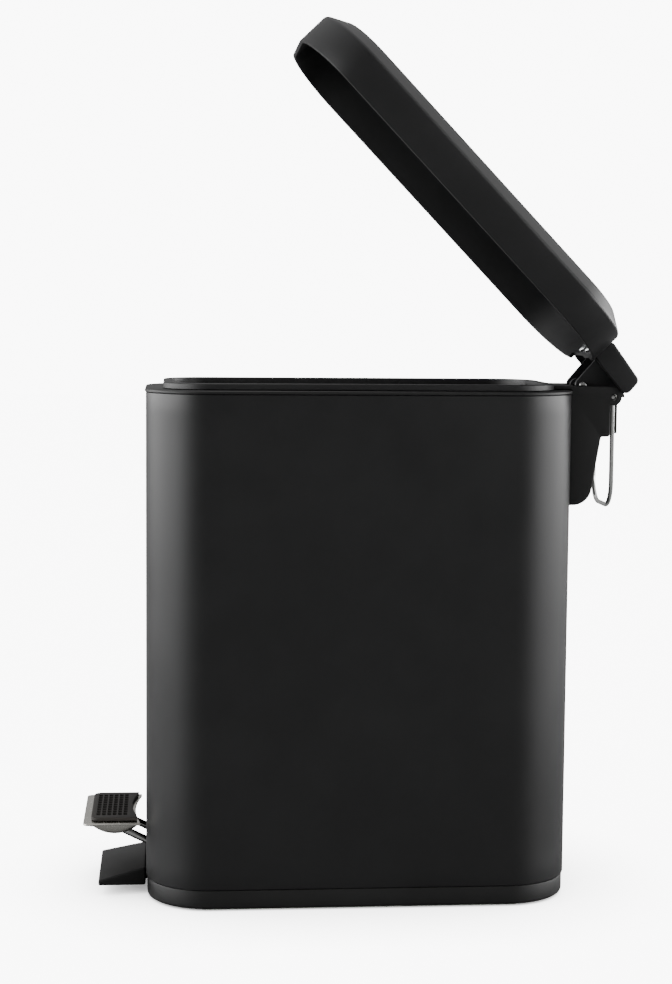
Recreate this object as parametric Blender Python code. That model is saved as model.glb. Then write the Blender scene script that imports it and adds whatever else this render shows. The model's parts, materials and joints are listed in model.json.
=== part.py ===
"""Slim rectangular pedal bin with its lid held open, as an assembly of separate pieces.

Frame: X is the width, -Y the front with the pedal, +Y the hinge side, +Z up, floor at Z = 0.
Sizes below are millimetres; meshes are made in metres. The lid is modelled closed and then
turned open about its hinge axis, so every lid size reads as on the closed bin.
"""

import math

import bmesh
import bpy
from mathutils import Matrix, Vector

MM = 0.001
GAP = 0.3  # working gap between pieces that touch

# Whole object
FRAME_SHIFT_Y = -1.55  # puts the middle of the whole length at Y = 0
BODY_LENGTH = 220.0
BODY_WIDTH = 116.0
CORNER_RADIUS = 33.0
CORNER_STEPS = 8
FRONT = -BODY_LENGTH / 2
BACK = BODY_LENGTH / 2

# Heights
STRIP_TOP = 0.7
BASE_BOTTOM = 1.0
BASE_FLOOR = 2.8
BASE_TOP = 10.8
BASE_INSET = 0.6  # how far the base stands inside the shell's outline
SPIGOT_TOP = 22.0
SPIGOT_INSET = 1.3
BASE_WALL = 2.0
SHELL_BOTTOM = 11.3
SHELL_TOP = 263.0
FLANGE_BOTTOM = SHELL_TOP + GAP
FLANGE_TOP = 264.8
LID_RIM = 265.1
SHELL_WALL = 0.7

# Lid, as closed
LID_GROW = 1.0  # how far the lid's outline stands outside the shell's
LID_WALL = 2.0
LID_SIDE_HEIGHT = 18.0
LID_CHAMFER_IN = 10.5
LID_CHAMFER_UP = 6.4
LID_OPEN_DEG = 46.3
TAB_HALF_WIDTH = 27.6
TAB_WALL = 2.0
TAB_REAR = 137.0
TAB_SKIRT = 267.4  # lower edge of the tab's side walls, where they leave the lid
TAB_SKIRT_REAR = 265.6
TAB_BOTTOM = 267.3  # lower edge of the tab's rear wall, which clears the curled barrel
TAB_TOP = 280.2
TAB_TOP_REAR = 277.2
LID_NOTCH_TOP = 268.0

# Hinge, crank and push rod
HINGE_Y = 133.4
HINGE_Z = 261.1
HINGE_PIN_RADIUS = 1.5
CRANK_RADIUS = 15.15
CRANK_CLOSED_DEG = 23.8  # how far the crank pin lies below the hinge's level on the closed bin
CRANK_PIN_RADIUS = 1.6
ARM_IN = 10.0
ARM_OUT = 12.0
ROD_HALF_THICK = 1.0
ROD_HALF_WIDTH = 2.5
ROD_INNER_Y = 102.0
ROD_OUTER_Y = 119.5
ROD_BEND_LOW = 214.0
ROD_BEND_HIGH = 244.0

# Pedal lever
LEVER_RADIUS = 2.0
LEVER_HALF_WIDTH = 14.0
LEVER_Z = 19.5
LEVER_BEND_RADIUS = 6.0
FULCRUM_Y = 5.0
FULCRUM_Z = 24.5
AXLE_RADIUS = 2.0
PLATE_BOTTOM = 38.2
PLATE_TOP = 39.4
PLATE_FRONT = -142.6
PLATE_REAR = -112.9
PLATE_HALF_WIDTH = 31.0
PAD_TOP = 41.6
PAD_INSET = 4.0
NOTCH_DEPTH = 2.8

# Hinge housing on the back wall
HOUSING_HALF_WIDTH = 25.0
HOUSING_WALL = 2.0
HOUSING_BOTTOM = 204.5
HOUSING_TOP = 266.8
BARREL_RADIUS = 4.2
CURL_RADIUS = 5.6
LIP_INNER = 137.6
LEDGE_Z = 240.4
KNUCKLE_HALF_WIDTH = 8.5
ROD_SLOT_LOW = 207.5
ROD_SLOT_HIGH = 246.5
ROD_SLOT_HALF_WIDTH = 3.0

# Pedal opening in the front wall
FOOT_FRONT = -134.8
FOOT_REAR = FRONT - GAP
FOOT_SCREW_X = 18.0
FOOT_SCREW_Z = 8.0
MOUTH_HALF_WIDTH = 20.0
MOUTH_TOP = 45.5

# Carrying bail and bucket handle
BAIL_RADIUS = 1.2
BAIL_HALF_WIDTH = 21.4
BAIL_LOWEST = 203.4
BAIL_CORNER = 13.0
HANDLE_RADIUS = 1.5
HANDLE_Z = 258.0
HANDLE_HALF_WIDTH = 41.6
HANDLE_REACH = 84.0
HANDLE_BEND = 2.6

for old in list(bpy.data.objects):
    bpy.data.objects.remove(old, do_unlink=True)

pivots = {}
tool_count = 0


# ---------------------------------------------------------------- helpers


def material(name, hex_colour, roughness, metallic=0.0):
    """A Principled material from an sRGB hex colour."""
    channels = [int(hex_colour[i:i + 2], 16) / 255 for i in (0, 2, 4)]
    linear = [c / 12.92 if c <= 0.04045 else ((c + 0.055) / 1.055) ** 2.4 for c in channels]
    made = bpy.data.materials.new(name)
    made.use_nodes = True
    shader = made.node_tree.nodes["Principled BSDF"]
    shader.inputs["Base Color"].default_value = (*linear, 1)
    shader.inputs["Roughness"].default_value = roughness
    shader.inputs["Metallic"].default_value = metallic
    made.diffuse_color = (*linear, 1)
    return made


def pivot(name, y, z, turn_deg=0.0):
    """An empty on a joint axis that runs along X; what hangs on it is turned by turn_deg."""
    empty = bpy.data.objects.new(name, None)
    bpy.context.scene.collection.objects.link(empty)
    empty.location = (0, (y + FRAME_SHIFT_Y) * MM, z * MM)
    empty.rotation_euler = (math.radians(turn_deg), 0, 0)
    pivots[name] = (empty, Vector((0, y, z)))
    return name


def add(name, bm, finish, on):
    """Make an object from a bmesh in millimetres, hung on a pivot."""
    empty, centre = pivots[on]
    bmesh.ops.translate(bm, verts=bm.verts, vec=-centre)
    bmesh.ops.scale(bm, verts=bm.verts, vec=(MM, MM, MM))
    bmesh.ops.recalc_face_normals(bm, faces=bm.faces)
    mesh = bpy.data.meshes.new(name)
    bm.to_mesh(mesh)
    bm.free()
    mesh.shade_smooth()
    mesh.set_sharp_from_angle(angle=math.radians(30))
    piece = bpy.data.objects.new(name, mesh)
    bpy.context.scene.collection.objects.link(piece)
    piece.parent = empty
    if finish:
        mesh.materials.append(finish)
    return piece


def boolean(piece, bm, on, operation):
    """Cut a bmesh from a piece, or join it on, with a modifier and a hidden tool object."""
    global tool_count
    tool_count += 1
    tool = add(f"tool_{tool_count:02d}", bm, None, on)
    tool.hide_render = True
    tool.display_type = "WIRE"
    change = piece.modifiers.new(tool.name, "BOOLEAN")
    change.operation = operation
    change.solver = "EXACT"
    change.object = tool


def cut(piece, bm, on="frame"):
    boolean(piece, bm, on, "DIFFERENCE")


def join(piece, bm, on="frame"):
    boolean(piece, bm, on, "UNION")


def corners(half_x, half_y, radius, steps=CORNER_STEPS):
    """The outline of a rectangle with round corners, anticlockwise."""
    points = []
    for quarter, (sign_x, sign_y) in enumerate(((1, 1), (-1, 1), (-1, -1), (1, -1))):
        for step in range(steps + 1):
            angle = math.radians(90 * (quarter + step / steps))
            points.append((
                sign_x * (half_x - radius) + radius * math.cos(angle),
                sign_y * (half_y - radius) + radius * math.sin(angle),
            ))
    return points


def body_ring(inset, z):
    """The shell's outline moved inwards by inset, at a height."""
    outline = corners(BODY_WIDTH / 2 - inset, BODY_LENGTH / 2 - inset, CORNER_RADIUS - inset)
    return [Vector((x, y, z)) for x, y in outline]


def loft(rings, endless=False):
    """Skin equal rings in order; the ends are capped, or joined to each other if endless."""
    bm = bmesh.new()
    loops = [[bm.verts.new(point) for point in ring] for ring in rings]
    pairs = list(zip(loops, loops[1:]))
    if endless:
        pairs.append((loops[-1], loops[0]))
    else:
        bm.faces.new(loops[0])
        bm.faces.new(loops[-1])
    for lower, upper in pairs:
        for i, vertex in enumerate(lower):
            j = (i + 1) % len(lower)
            bm.faces.new((vertex, lower[j], upper[j], upper[i]))
    return bm


def swept(profile, endless=False):
    """A body that follows the shell's outline, from (inset, height) points."""
    return loft([body_ring(inset, z) for inset, z in profile], endless)


def place(axis, a, b, along):
    """A point from its two section coordinates and its place along an axis."""
    return Vector({"X": (along, a, b), "Y": (a, along, b), "Z": (a, b, along)}[axis])


def prism(axis, outline, low, high):
    """A straight body from a flat outline; the outline is (Y,Z), (X,Z) or (X,Y)."""
    return loft([[place(axis, a, b, along) for a, b in outline] for along in (low, high)])


def block(x, y, z):
    """A box from three (low, high) pairs."""
    return prism("Z", [(x[0], y[0]), (x[1], y[0]), (x[1], y[1]), (x[0], y[1])], *z)


def arc(centre, radius, start_deg, end_deg, steps):
    """Points on a circle, both ends included."""
    angles = [math.radians(start_deg + (end_deg - start_deg) * i / steps) for i in range(steps + 1)]
    return [(centre[0] + radius * math.cos(a), centre[1] + radius * math.sin(a)) for a in angles]


def rod(axis, centre, radius, low, high, sides=24):
    """A round bar along an axis."""
    return prism(axis, arc(centre, radius, 0, 360 * (sides - 1) / sides, sides - 1), low, high)


def turned(axis, centre, profile, sides=24):
    """A body of round sections along an axis, from (radius, place) points, capped."""
    rings = []
    for radius, along in profile:
        circle = arc(centre, radius, 0, 360 * (sides - 1) / sides, sides - 1)
        rings.append([place(axis, a, b, along) for a, b in circle])
    return loft(rings)


def slot_outline(low_a, high_a, low_b, high_b, steps=6):
    """A rectangle with fully round ends along its first direction."""
    radius = (high_b - low_b) / 2
    middle = (low_b + high_b) / 2
    right = arc((high_a - radius, middle), radius, -90, 90, steps)
    left = arc((low_a + radius, middle), radius, 90, 270, steps)
    return right + left


def ribbon(points, half_width):
    """The outline of a flat strip of even width along a bent centre line."""
    sides = ([], [])
    for i, point in enumerate(points):
        here = Vector(point)
        before = (here - Vector(points[i - 1])).normalized() if i else None
        after = (Vector(points[i + 1]) - here).normalized() if i + 1 < len(points) else None
        along = ((before or after) + (after or before)).normalized()
        normal = Vector((-along.y, along.x))
        reach = half_width / normal.dot(Vector((-(after or before).y, (after or before).x)))
        sides[0].append(tuple(here + normal * reach))
        sides[1].append(tuple(here - normal * reach))
    return sides[0] + sides[1][::-1]


def rounded(points, radius, endless, steps=4):
    """A path whose corners are turned into arcs."""
    path = []
    count = len(points)
    for i, point in enumerate(points):
        corner = Vector(point)
        if not endless and i in (0, count - 1):
            path.append(corner)
            continue
        back = (Vector(points[i - 1]) - corner).normalized()
        ahead = (Vector(points[(i + 1) % count]) - corner).normalized()
        opening = back.angle(ahead)
        centre = corner + (back + ahead).normalized() * radius / math.sin(opening / 2)
        start = corner + back * radius / math.tan(opening / 2) - centre
        axis = back.cross(ahead)
        for step in range(steps + 1):
            turn = Matrix.Rotation(-(math.pi - opening) * step / steps, 3, axis)
            path.append(centre + turn @ start)
    return path


def wire(path, radius, endless):
    """A round wire along a path, as a bmesh."""
    curve = bpy.data.curves.new("wire", "CURVE")
    curve.dimensions = "3D"
    curve.bevel_depth = radius
    curve.bevel_resolution = 2
    curve.use_fill_caps = True
    spline = curve.splines.new("POLY")
    spline.points.add(len(path) - 1)
    for target, point in zip(spline.points, path):
        target.co = (*point, 1)
    spline.use_cyclic_u = endless
    holder = bpy.data.objects.new("wire", curve)
    bpy.context.scene.collection.objects.link(holder)
    mesh = bpy.data.meshes.new_from_object(holder)
    bpy.data.objects.remove(holder)
    bm = bmesh.new()
    bm.from_mesh(mesh)
    bmesh.ops.remove_doubles(bm, verts=bm.verts, dist=0.001)
    return bm


def pair(name, build, finish, on="frame"):
    """The same piece on the left (-X) and the right (+X); build takes the side's sign."""
    return [add(f"{name}_{side}", build(sign), finish, on)
            for side, sign in (("left", -1), ("right", 1))]


def span(sign, near, far):
    """A (low, high) pair of places on one side, from its distances to the middle."""
    return tuple(sorted((sign * near, sign * far)))


# ---------------------------------------------------------------- finishes

painted_steel = material("black_painted_steel", "242425", 0.42)
black_plastic = material("black_moulded_plastic", "202021", 0.5)
liner_plastic = material("liner_plastic", "1b1b1c", 0.55)
pad_rubber = material("pad_rubber", "1d1a17", 0.75)
strip_foam = material("strip_foam", "a9b1a6", 0.8)
polished_steel = material("polished_steel", "c9c6bd", 0.2, 1.0)
chrome_wire = material("chrome_wire", "d2d2d0", 0.12, 1.0)
dark_steel = material("dark_steel", "2a2a2b", 0.4, 1.0)
zinc = material("zinc_screw", "b4b5b4", 0.3, 1.0)

# ---------------------------------------------------------------- joint axes

frame = pivot("frame", 0, 0)
hinge = pivot("lid_hinge_axis", HINGE_Y, HINGE_Z, -LID_OPEN_DEG)
bail_axis = pivot("bail_axis", HINGE_Y, HINGE_Z)
fulcrum = pivot("pedal_axis", FULCRUM_Y, FULCRUM_Z)
slide = pivot("push_rod_axis", ROD_INNER_Y, LEVER_Z)
handle_axis = pivot("bucket_handle_axis", 0, HANDLE_Z)


# ---------------------------------------------------------------- body and base


def make_shell():
    """The painted steel sleeve, with the pedal's opening, the rod's slot and two screw holes."""
    profile = [(0, SHELL_BOTTOM), (0, SHELL_TOP), (SHELL_WALL, SHELL_TOP), (SHELL_WALL, SHELL_BOTTOM)]
    shell = add("body_shell", swept(profile, endless=True), painted_steel, frame)
    cut(shell, block((-MOUTH_HALF_WIDTH, MOUTH_HALF_WIDTH), (FRONT - 5, FRONT + 5), (5, MOUTH_TOP)))
    cut(shell, rod_slot())
    for sign in (-1, 1):
        cut(shell, housing_screw_hole(sign))


def rod_slot():
    """Where the push rod passes through the back wall and the housing's own front wall."""
    across = (-ROD_SLOT_HALF_WIDTH, ROD_SLOT_HALF_WIDTH)
    return block(across, (BACK - 6, BACK + 4), (ROD_SLOT_LOW, ROD_SLOT_HIGH))


def make_base():
    """The base tray with the spigot that the shell slides over and the posts of the axle."""
    profile = [
        (BASE_INSET + 2.0, BASE_BOTTOM), (BASE_INSET + 0.5, BASE_BOTTOM + 0.4),
        (BASE_INSET, BASE_BOTTOM + 1.2), (BASE_INSET, BASE_TOP), (SPIGOT_INSET, BASE_TOP),
        (SPIGOT_INSET, SPIGOT_TOP), (SPIGOT_INSET + BASE_WALL, SPIGOT_TOP),
        (SPIGOT_INSET + BASE_WALL, BASE_FLOOR),
    ]
    tray = add("base_tray", swept(profile), black_plastic, frame)
    cut(tray, block((-23.5, 23.5), (FRONT - 5, FRONT + 8), (BASE_TOP, SPIGOT_TOP + 5)))
    for sign in (-1, 1):
        post = [(-1, BASE_FLOOR - 1), (11, BASE_FLOOR - 1), (11, FULCRUM_Z)]
        post += arc((FULCRUM_Y, FULCRUM_Z), 4.5, 0, 180, 8) + [(-1, FULCRUM_Z)]
        join(tray, prism("X", post, *span(sign, 19.5, 23.5)))
        cut(tray, foot_screw_hole(sign, FRONT - 5, FRONT + 8))
    cut(tray, rod("X", (FULCRUM_Y, FULCRUM_Z), AXLE_RADIUS + GAP, -30, 30))
    pair("floor_strip", lambda sign: block(span(sign, 44, 54), (-82, 82), (0, STRIP_TOP)), strip_foam)


def foot_screw_hole(sign, low, high):
    """The clearance hole of one foot screw, between two values of Y."""
    return rod("Y", (sign * FOOT_SCREW_X, FOOT_SCREW_Z), 1.8, low, high)


def screw(axis, centre, head, shank_end, radius=1.5, head_radius=3.2, head_height=1.8):
    """A domed screw; its head starts at head and its shank runs to shank_end."""
    way = 1 if shank_end > head else -1
    under = head + way * head_height
    return turned(axis, centre, [
        (head_radius * 0.55, head), (head_radius * 0.9, head + way * head_height * 0.35),
        (head_radius, head + way * head_height * 0.75), (head_radius, under),
        (radius, under), (radius, shank_end - way), (radius * 0.4, shank_end),
    ], 16)


def make_front_foot():
    """The sloping plastic foot under the pedal and the two screws that hold it to the base."""
    ends = [(FOOT_FRONT, 29.2, 6.0, 8.8), (FOOT_REAR, 25.4, 5.0, 14.6)]
    rings = [[Vector((-half, y, low)), Vector((half, y, low)), Vector((half, y, high)),
              Vector((-half, y, high))] for y, half, low, high in ends]
    foot = add("front_foot", loft(rings), black_plastic, frame)
    for sign in (-1, 1):
        cut(foot, foot_screw_hole(sign, FOOT_REAR - 8, FOOT_REAR + 1))
    pair("foot_screw", lambda sign: screw(
        "Y", (sign * FOOT_SCREW_X, FOOT_SCREW_Z), FRONT + 5.4, FOOT_REAR - 7.5), zinc)


def make_mouth_frame():
    """The plastic arch that lines the pedal's opening."""
    def arch(half_width, top, wall):
        inner, inner_top = half_width - wall, top - wall
        return [(-half_width, 11.6), (-half_width, top), (half_width, top), (half_width, 11.6),
                (inner, 11.6), (inner, inner_top), (-inner, inner_top), (-inner, 11.6)]
    lining = arch(MOUTH_HALF_WIDTH - GAP, MOUTH_TOP - GAP, 1.7)
    arch_piece = add("pedal_mouth_frame", prism("Y", lining, FRONT, FRONT + 3.0), black_plastic, frame)
    behind_wall = FRONT + SHELL_WALL + GAP
    join(arch_piece, prism("Y", arch(23.0, MOUTH_TOP + 2.5, 4.4), behind_wall, behind_wall + 1.8))


def make_collar():
    """The plastic ring on the shell's top edge, with a skirt inside and a raised lip."""
    profile = [
        (-0.5, FLANGE_BOTTOM), (-0.5, FLANGE_TOP - 0.4), (-0.1, FLANGE_TOP), (10.0, FLANGE_TOP),
        (10.0, 266.4), (12.0, 266.4), (12.0, 261.5), (10.5, 261.5), (10.5, FLANGE_BOTTOM),
        (2.8, FLANGE_BOTTOM), (2.8, 252.0), (1.3, 252.0), (1.3, FLANGE_BOTTOM),
    ]
    add("collar_ring", swept(profile, endless=True), black_plastic, frame)


def make_bucket():
    """The lift-out bucket that hangs by its rim on the collar, with its wire handle.

    The profile runs up the outside to the hanging rim and down the inside, as inset and height.
    """
    profile = [
        (20.0, 38.0), (17.2, 39.0), (16.4, 42.0), (12.5, 264.0), (12.5, 266.7), (9.7, 266.7),
        (9.7, 265.1), (8.9, 265.1), (8.9, 267.9), (9.3, 268.2), (14.0, 268.2), (14.0, 264.0),
        (17.9, 42.6), (18.6, 40.4), (20.0, 39.6),
    ]
    bucket = add("inner_bucket", swept(profile), liner_plastic, frame)
    cut(bucket, rod("X", (0, HANDLE_Z), HANDLE_RADIUS + GAP, -50, 50))
    handle_end = 47.0
    inside = HANDLE_HALF_WIDTH
    corner_path = [
        (handle_end, 0, HANDLE_Z), (inside, 0, HANDLE_Z), (inside, -HANDLE_REACH, HANDLE_Z),
        (-inside, -HANDLE_REACH, HANDLE_Z), (-inside, 0, HANDLE_Z), (-handle_end, 0, HANDLE_Z),
    ]
    path = rounded(corner_path, HANDLE_BEND, False)
    add("bucket_handle", wire(path, HANDLE_RADIUS, False), chrome_wire, handle_axis)
    grip = add("handle_grip", turned("X", (-HANDLE_REACH, HANDLE_Z), [
        (4.0, -27), (5.0, -25.5), (5.0, 25.5), (4.0, 27)], 16), liner_plastic, handle_axis)
    cut(grip, rod("X", (-HANDLE_REACH, HANDLE_Z), HANDLE_RADIUS + GAP, -40, 40, 16), handle_axis)


# ---------------------------------------------------------------- pedal


def plate_outline(inset):
    """The pedal's plan: straight front and sides, and a hollow back edge."""
    half = PLATE_HALF_WIDTH - inset
    rear = PLATE_REAR - inset * 0.4
    chord = half - 3.0
    radius = (chord ** 2 + NOTCH_DEPTH ** 2) / (2 * NOTCH_DEPTH)
    reach = math.degrees(math.asin(chord / radius))
    hollow = arc((0, rear - NOTCH_DEPTH + radius), radius, 270 - reach, 270 + reach, 10)
    front = PLATE_FRONT + inset
    nose = arc((half - 3, front + 3), 3, 0, -90, 4) + arc((3 - half, front + 3), 3, 270, 180, 4)
    return [(-half, rear)] + hollow + [(half, rear)] + nose


def make_pedal():
    """Lever, tread plate with turned-down sides, rubber pad, saddles and fulcrum clips."""
    front, knee, heel, rear = -136.0, -128.3, -96.5, ROD_INNER_Y
    under_plate = 35.1
    side = [(front, under_plate), (knee, under_plate), (heel, LEVER_Z), (rear, LEVER_Z)]
    path = [(LEVER_HALF_WIDTH, y, z) for y, z in side]
    path += [(-LEVER_HALF_WIDTH, y, z) for y, z in reversed(side)]
    loop = wire(rounded(path, LEVER_BEND_RADIUS, True), LEVER_RADIUS, True)
    add("pedal_lever", loop, chrome_wire, fulcrum)

    tread = prism("Z", plate_outline(0), PLATE_BOTTOM, PLATE_TOP)
    plate = add("pedal_plate", tread, polished_steel, fulcrum)
    skirt_chord, skirt_drop, skirt_margin = 12.2, 4.6, 0.9
    middle = PLATE_REAR - skirt_chord - skirt_margin
    radius = (skirt_chord ** 2 + skirt_drop ** 2) / (2 * skirt_drop)
    reach = math.degrees(math.asin(skirt_chord / radius))
    belly = arc((middle, PLATE_BOTTOM - skirt_drop + radius), radius, 270 - reach, 270 + reach, 8)
    skirt_top = PLATE_BOTTOM + 0.6
    skirt = belly + [(middle + skirt_chord, skirt_top), (middle - skirt_chord, skirt_top)]
    for sign in (-1, 1):
        join(plate, prism("X", skirt, *span(sign, PLATE_HALF_WIDTH - 1.2, PLATE_HALF_WIDTH)), fulcrum)
    add("pedal_pad", prism("Z", plate_outline(PAD_INSET), PLATE_TOP + GAP, PAD_TOP), pad_rubber, fulcrum)

    def saddle(sign):
        """A bent strap that clamps the lever's front bar under the plate."""
        outer, inner = 4.2, LEVER_RADIUS + GAP
        top, bottom = PLATE_BOTTOM - GAP, under_plate - LEVER_RADIUS - GAP
        outline = [(-outer, top), (-outer, bottom - 1), (outer, bottom - 1), (outer, top),
                   (inner, top), (inner, bottom), (-inner, bottom), (-inner, top)]
        return prism("X", [(front + a, b) for a, b in outline], *span(sign, 2.5, 7.5))

    pair("pedal_saddle", saddle, polished_steel, fulcrum)

    for side_name, sign in (("left", -1), ("right", 1)):
        outline = [(0, 16.2), (10, 16.2), (10, FULCRUM_Z)]
        outline += arc((FULCRUM_Y, FULCRUM_Z), 4.4, 0, 180, 8) + [(0, FULCRUM_Z)]
        hanger = prism("X", outline, *span(sign, 10.5, 17.5))
        clip = add(f"fulcrum_clip_{side_name}", hanger, black_plastic, fulcrum)
        cut(clip, rod("X", (FULCRUM_Y, FULCRUM_Z), AXLE_RADIUS + GAP / 2, -30, 30), fulcrum)
        cut(clip, rod("Y", (sign * LEVER_HALF_WIDTH, LEVER_Z), LEVER_RADIUS + GAP, -10, 20), fulcrum)
    add("fulcrum_axle", rod("X", (FULCRUM_Y, FULCRUM_Z), AXLE_RADIUS, -25, 25), zinc, frame)


# ---------------------------------------------------------------- push rod


def crank_pin_place(lid_open_deg):
    """Where the crank pin is for a lid angle counted from closed."""
    angle = math.radians(180 + CRANK_CLOSED_DEG - lid_open_deg)
    return HINGE_Y + CRANK_RADIUS * math.cos(angle), HINGE_Z + CRANK_RADIUS * math.sin(angle)


def make_push_rod():
    """The flat rod from the lever's cross bar to the crank pin, with a long eye at each end."""
    pin_y, pin_z = crank_pin_place(LID_OPEN_DEG)
    line = [(ROD_INNER_Y, LEVER_Z), (ROD_INNER_Y, ROD_BEND_LOW), (ROD_OUTER_Y, ROD_BEND_HIGH),
            (ROD_OUTER_Y, pin_z - 3.5)]
    thick = (-ROD_HALF_THICK, ROD_HALF_THICK)
    push_rod = add("push_rod", prism("X", ribbon(line, ROD_HALF_WIDTH), *thick), dark_steel, slide)
    head = slot_outline(pin_y - 4.5, pin_y + 7.2, pin_z - 4.3, pin_z + 3.3)
    foot = slot_outline(ROD_INNER_Y - 5.6, ROD_INNER_Y + 4.4, LEVER_Z - 4.0, LEVER_Z + 4.0)
    eye = slot_outline(pin_y - 3.1, pin_y + 5.8, pin_z - 2.9, pin_z + 1.9)
    hook = slot_outline(ROD_INNER_Y - 3.6, ROD_INNER_Y + 2.45, LEVER_Z - 2.45, LEVER_Z + 2.45)
    join(push_rod, prism("X", head, *thick), slide)
    join(push_rod, prism("X", foot, *thick), slide)
    cut(push_rod, prism("X", eye, -5, 5), slide)
    cut(push_rod, prism("X", hook, -5, 5), slide)


# ---------------------------------------------------------------- hinge housing and bail


def housing_screw_hole(sign):
    """The clearance hole of one housing screw, through the wall and the housing."""
    return rod("Y", (sign * 15, 230), 1.8, BACK - 5, BACK + 4)


def make_housing():
    """The tapered plastic housing that carries the hinge pin and guides the push rod."""
    barrel = (HINGE_Y, HINGE_Z)
    heel = arc((BACK + 2.6, HOUSING_BOTTOM + 9.8), 9.8, -90, -8, 8)
    outline = [(BACK + GAP, HOUSING_BOTTOM)] + heel
    outline += [(126.7, LEDGE_Z - 0.8), (129.2, LEDGE_Z), (131.0, LEDGE_Z + 0.6), (131.5, LEDGE_Z + 1.4)]
    outline += arc(barrel, BARREL_RADIUS, -117, 0, 8) + arc(barrel, CURL_RADIUS, 0, 90, 8)
    outline += [(BACK - 8.5, HOUSING_TOP), (BACK - 8.5, FLANGE_TOP + GAP), (BACK + 0.8, FLANGE_TOP + GAP),
                (BACK + 0.8, 262.8), (BACK + GAP, 262.8)]
    half = HOUSING_HALF_WIDTH
    housing = add("hinge_housing", prism("X", outline, -half, half), black_plastic, frame)
    inner_front, rear_top = BACK + 3.0, 254.0
    hollow = [
        (inner_front, 275), (inner_front, 208.5), (117.4, 209.4), (120.0, 214.5), (124.5, LEDGE_Z + 1.6),
        (129.4, LEDGE_Z + 3.6), (129.4, rear_top), (145, rear_top), (145, 275),
    ]
    cut(housing, prism("X", hollow, HOUSING_WALL - half, half - HOUSING_WALL))
    knuckle = arc(barrel, CURL_RADIUS, 0, 90, 8) + arc(barrel, BARREL_RADIUS, 95, 225, 11)
    knuckle += [(129.8, 250.0), (131.3, 250.0), (131.4, 256.0)]
    knuckle += arc(barrel, BARREL_RADIUS, 262, 335, 6)
    knuckle += [(LIP_INNER, 258.5), (LIP_INNER, 242.8), (137.9, 241.2), (138.7, 241.2), (139.0, 242.8)]
    join(housing, prism("X", knuckle, -KNUCKLE_HALF_WIDTH, KNUCKLE_HALF_WIDTH))
    cut(housing, rod("X", barrel, HINGE_PIN_RADIUS + GAP, -40, 40))
    cut(housing, rod_slot())
    for sign in (-1, 1):
        cut(housing, housing_screw_hole(sign))
    pair("housing_screw", lambda sign: screw("Y", (sign * 15, 230), BACK - 2.8, BACK + 8.0), zinc)

    pin_end = HOUSING_HALF_WIDTH + 0.3
    add("hinge_pin", turned("X", barrel, [
        (HINGE_PIN_RADIUS * 0.6, -pin_end), (HINGE_PIN_RADIUS, 0.6 - pin_end),
        (HINGE_PIN_RADIUS, pin_end - 0.6), (HINGE_PIN_RADIUS * 0.6, pin_end)]), chrome_wire, frame)


def make_bail():
    """The carrying bail: one wire with an eye on each end of the hinge pin."""
    top = HINGE_Z - 2.6
    path = [(BAIL_HALF_WIDTH, HINGE_Y, top), (BAIL_HALF_WIDTH, HINGE_Y, BAIL_LOWEST),
            (-BAIL_HALF_WIDTH, HINGE_Y, BAIL_LOWEST), (-BAIL_HALF_WIDTH, HINGE_Y, top)]
    loop = wire(rounded(path, BAIL_CORNER, False, 8), BAIL_RADIUS, False)
    bail = add("carry_bail", loop, chrome_wire, bail_axis)
    for sign in (-1, 1):
        eye = span(sign, BAIL_HALF_WIDTH - BAIL_RADIUS, BAIL_HALF_WIDTH + BAIL_RADIUS)
        join(bail, rod("X", (HINGE_Y, HINGE_Z), 3.6, *eye), bail_axis)
    cut(bail, rod("X", (HINGE_Y, HINGE_Z), HINGE_PIN_RADIUS + GAP, -40, 40), bail_axis)


# ---------------------------------------------------------------- lid


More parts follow.
